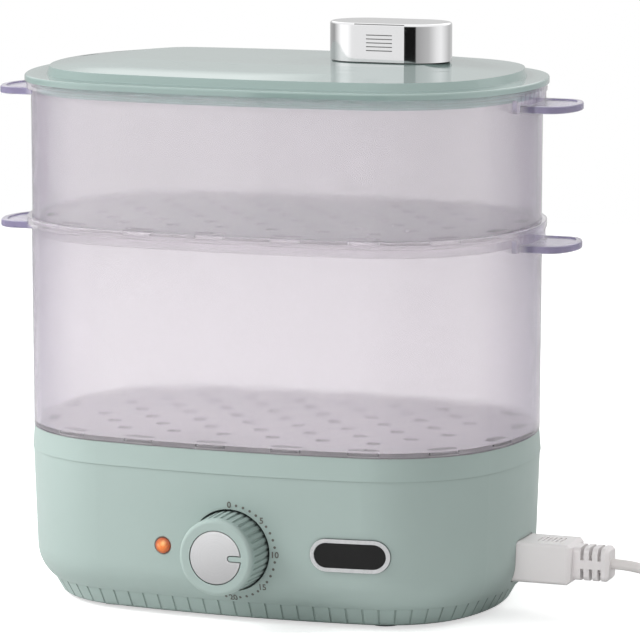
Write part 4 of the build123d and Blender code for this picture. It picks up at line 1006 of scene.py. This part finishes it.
def aim(made, target, spot):
    """Put an object on a spot and turn its -Z axis to a target."""
    made.location = spot
    made.rotation_euler = (Vector(target) - made.location).to_track_quat("-Z", "Y").to_euler()


def round_spot(azimuth, elevation, far, target):
    """Place round a target: azimuth from the front towards the right end, in degrees."""
    a, e = math.radians(azimuth), math.radians(elevation)
    step = Vector((math.sin(a) * math.cos(e), -math.cos(a) * math.cos(e), math.sin(e)))
    return Vector(target) + far * step


def new_lamp(name, energy, target):
    """Soft square light that shiny surfaces don't mirror."""
    size, azimuth, elevation, far = LIGHTS[name]
    light = bpy.data.lights.new(name, "AREA")
    light.energy = energy
    light.shape = "RECTANGLE"
    light.size = light.size_y = size
    made = bpy.data.objects.new(name, light)
    bpy.context.collection.objects.link(made)
    made.visible_glossy = False
    aim(made, target, round_spot(azimuth, elevation, far, target))
    return made


def shine_only_on(lamp, *pieces):
    """Keep a lamp's light off everything but some pieces."""
    lit = bpy.data.collections.new(lamp.name + "_pieces")
    for piece in pieces:
        lit.objects.link(piece)
    lamp.light_linking.receiver_collection = lit


class STEAMER_OT_stage(bpy.types.Operator):
    """Set up the floor, the surroundings, the lights and the camera"""
    bl_idname = "steamer.stage"
    bl_label = "Stage"

    def execute(self, context):
        sizes = context.scene.steamer_stage
        target = Vector((0, PLAN_Y, LIT_HEIGHT))
        new_floor()
        world = bpy.data.worlds.new("surroundings")
        context.scene.world = world
        world.use_nodes = True
        tree = world.node_tree
        back = tree.nodes["Background"].inputs
        plug(tree, back["Color"], (1, 1, 1, 1))
        plug(tree, back["Strength"], studio(tree, sizes.sky))

        new_lamp("key", sizes.key, target)
        new_lamp("fill", sizes.fill, target)
        new_lamp("front", sizes.front, target)
        shine_only_on(new_lamp("connector_light", sizes.spot, target),
                      nodes["connector_body"], bpy.data.objects["mains_lead"])
        shine_only_on(new_lamp("lid_light", sizes.lid, target), nodes["lid"])

        camera = bpy.data.cameras.new("camera")
        camera.sensor_width = SENSOR
        camera.lens = FOCAL_PIXELS * SENSOR / PICTURE_PIXELS
        camera.shift_x, camera.shift_y = LENS_SHIFT
        made = bpy.data.objects.new("camera", camera)
        context.collection.objects.link(made)
        middle = Vector((0, PLAN_Y, LOOK_HEIGHT))
        aim(made, middle, middle + sizes.distance * Vector(CAMERA_WAY))
        context.scene.camera = made
        context.scene.view_settings.view_transform = "Standard"
        return {"FINISHED"}


# =============================================================== panel and registration
operators = (STEAMER_OT_lead, STEAMER_OT_housing, STEAMER_OT_heater, STEAMER_OT_timer,
             STEAMER_OT_dial, STEAMER_OT_dial_scale, STEAMER_OT_lamp, STEAMER_OT_badge,
             STEAMER_OT_wiring, STEAMER_OT_tiers, STEAMER_OT_lid, STEAMER_OT_stage)
settings = {"steamer_plastics": SteamerPlastics, "steamer_metals": SteamerMetals,
            "steamer_lead": SteamerLead, "steamer_dial": SteamerDial, "steamer_stage": SteamerStage}


class STEAMER_PT_panel(bpy.types.Panel):
    """The steamer's settings and the operators that dress it"""
    bl_idname = "STEAMER_PT_panel"
    bl_label = "Food steamer"
    bl_space_type = "VIEW_3D"
    bl_region_type = "UI"
    bl_category = "Steamer"

    def draw(self, context):
        for name, kind in settings.items():
            for setting in kind.__annotations__:
                self.layout.prop(getattr(context.scene, name), setting)
        for operator in operators:
            self.layout.operator(operator.bl_idname)


def register():
    for kind in (*settings.values(), *operators, STEAMER_PT_panel):
        bpy.utils.register_class(kind)
    for name, kind in settings.items():
        setattr(bpy.types.Scene, name, PointerProperty(type=kind))


def unregister():
    for name in settings:
        delattr(bpy.types.Scene, name)
    for kind in reversed((*settings.values(), *operators, STEAMER_PT_panel)):
        bpy.utils.unregister_class(kind)


def main():
    register()
    build_moulded_grain()
    build_brushed_lines()
    build_spun_rings()
    build_smudges()
    for operator in operators:
        family, name = operator.bl_idname.split(".")
        getattr(getattr(bpy.ops, family), name)()
    left_bare = set(nodes) - dressed
    if left_bare:
        raise RuntimeError("Nodes without a finish: " + ", ".join(sorted(left_bare)))


if __name__ == "__main__":
    main()
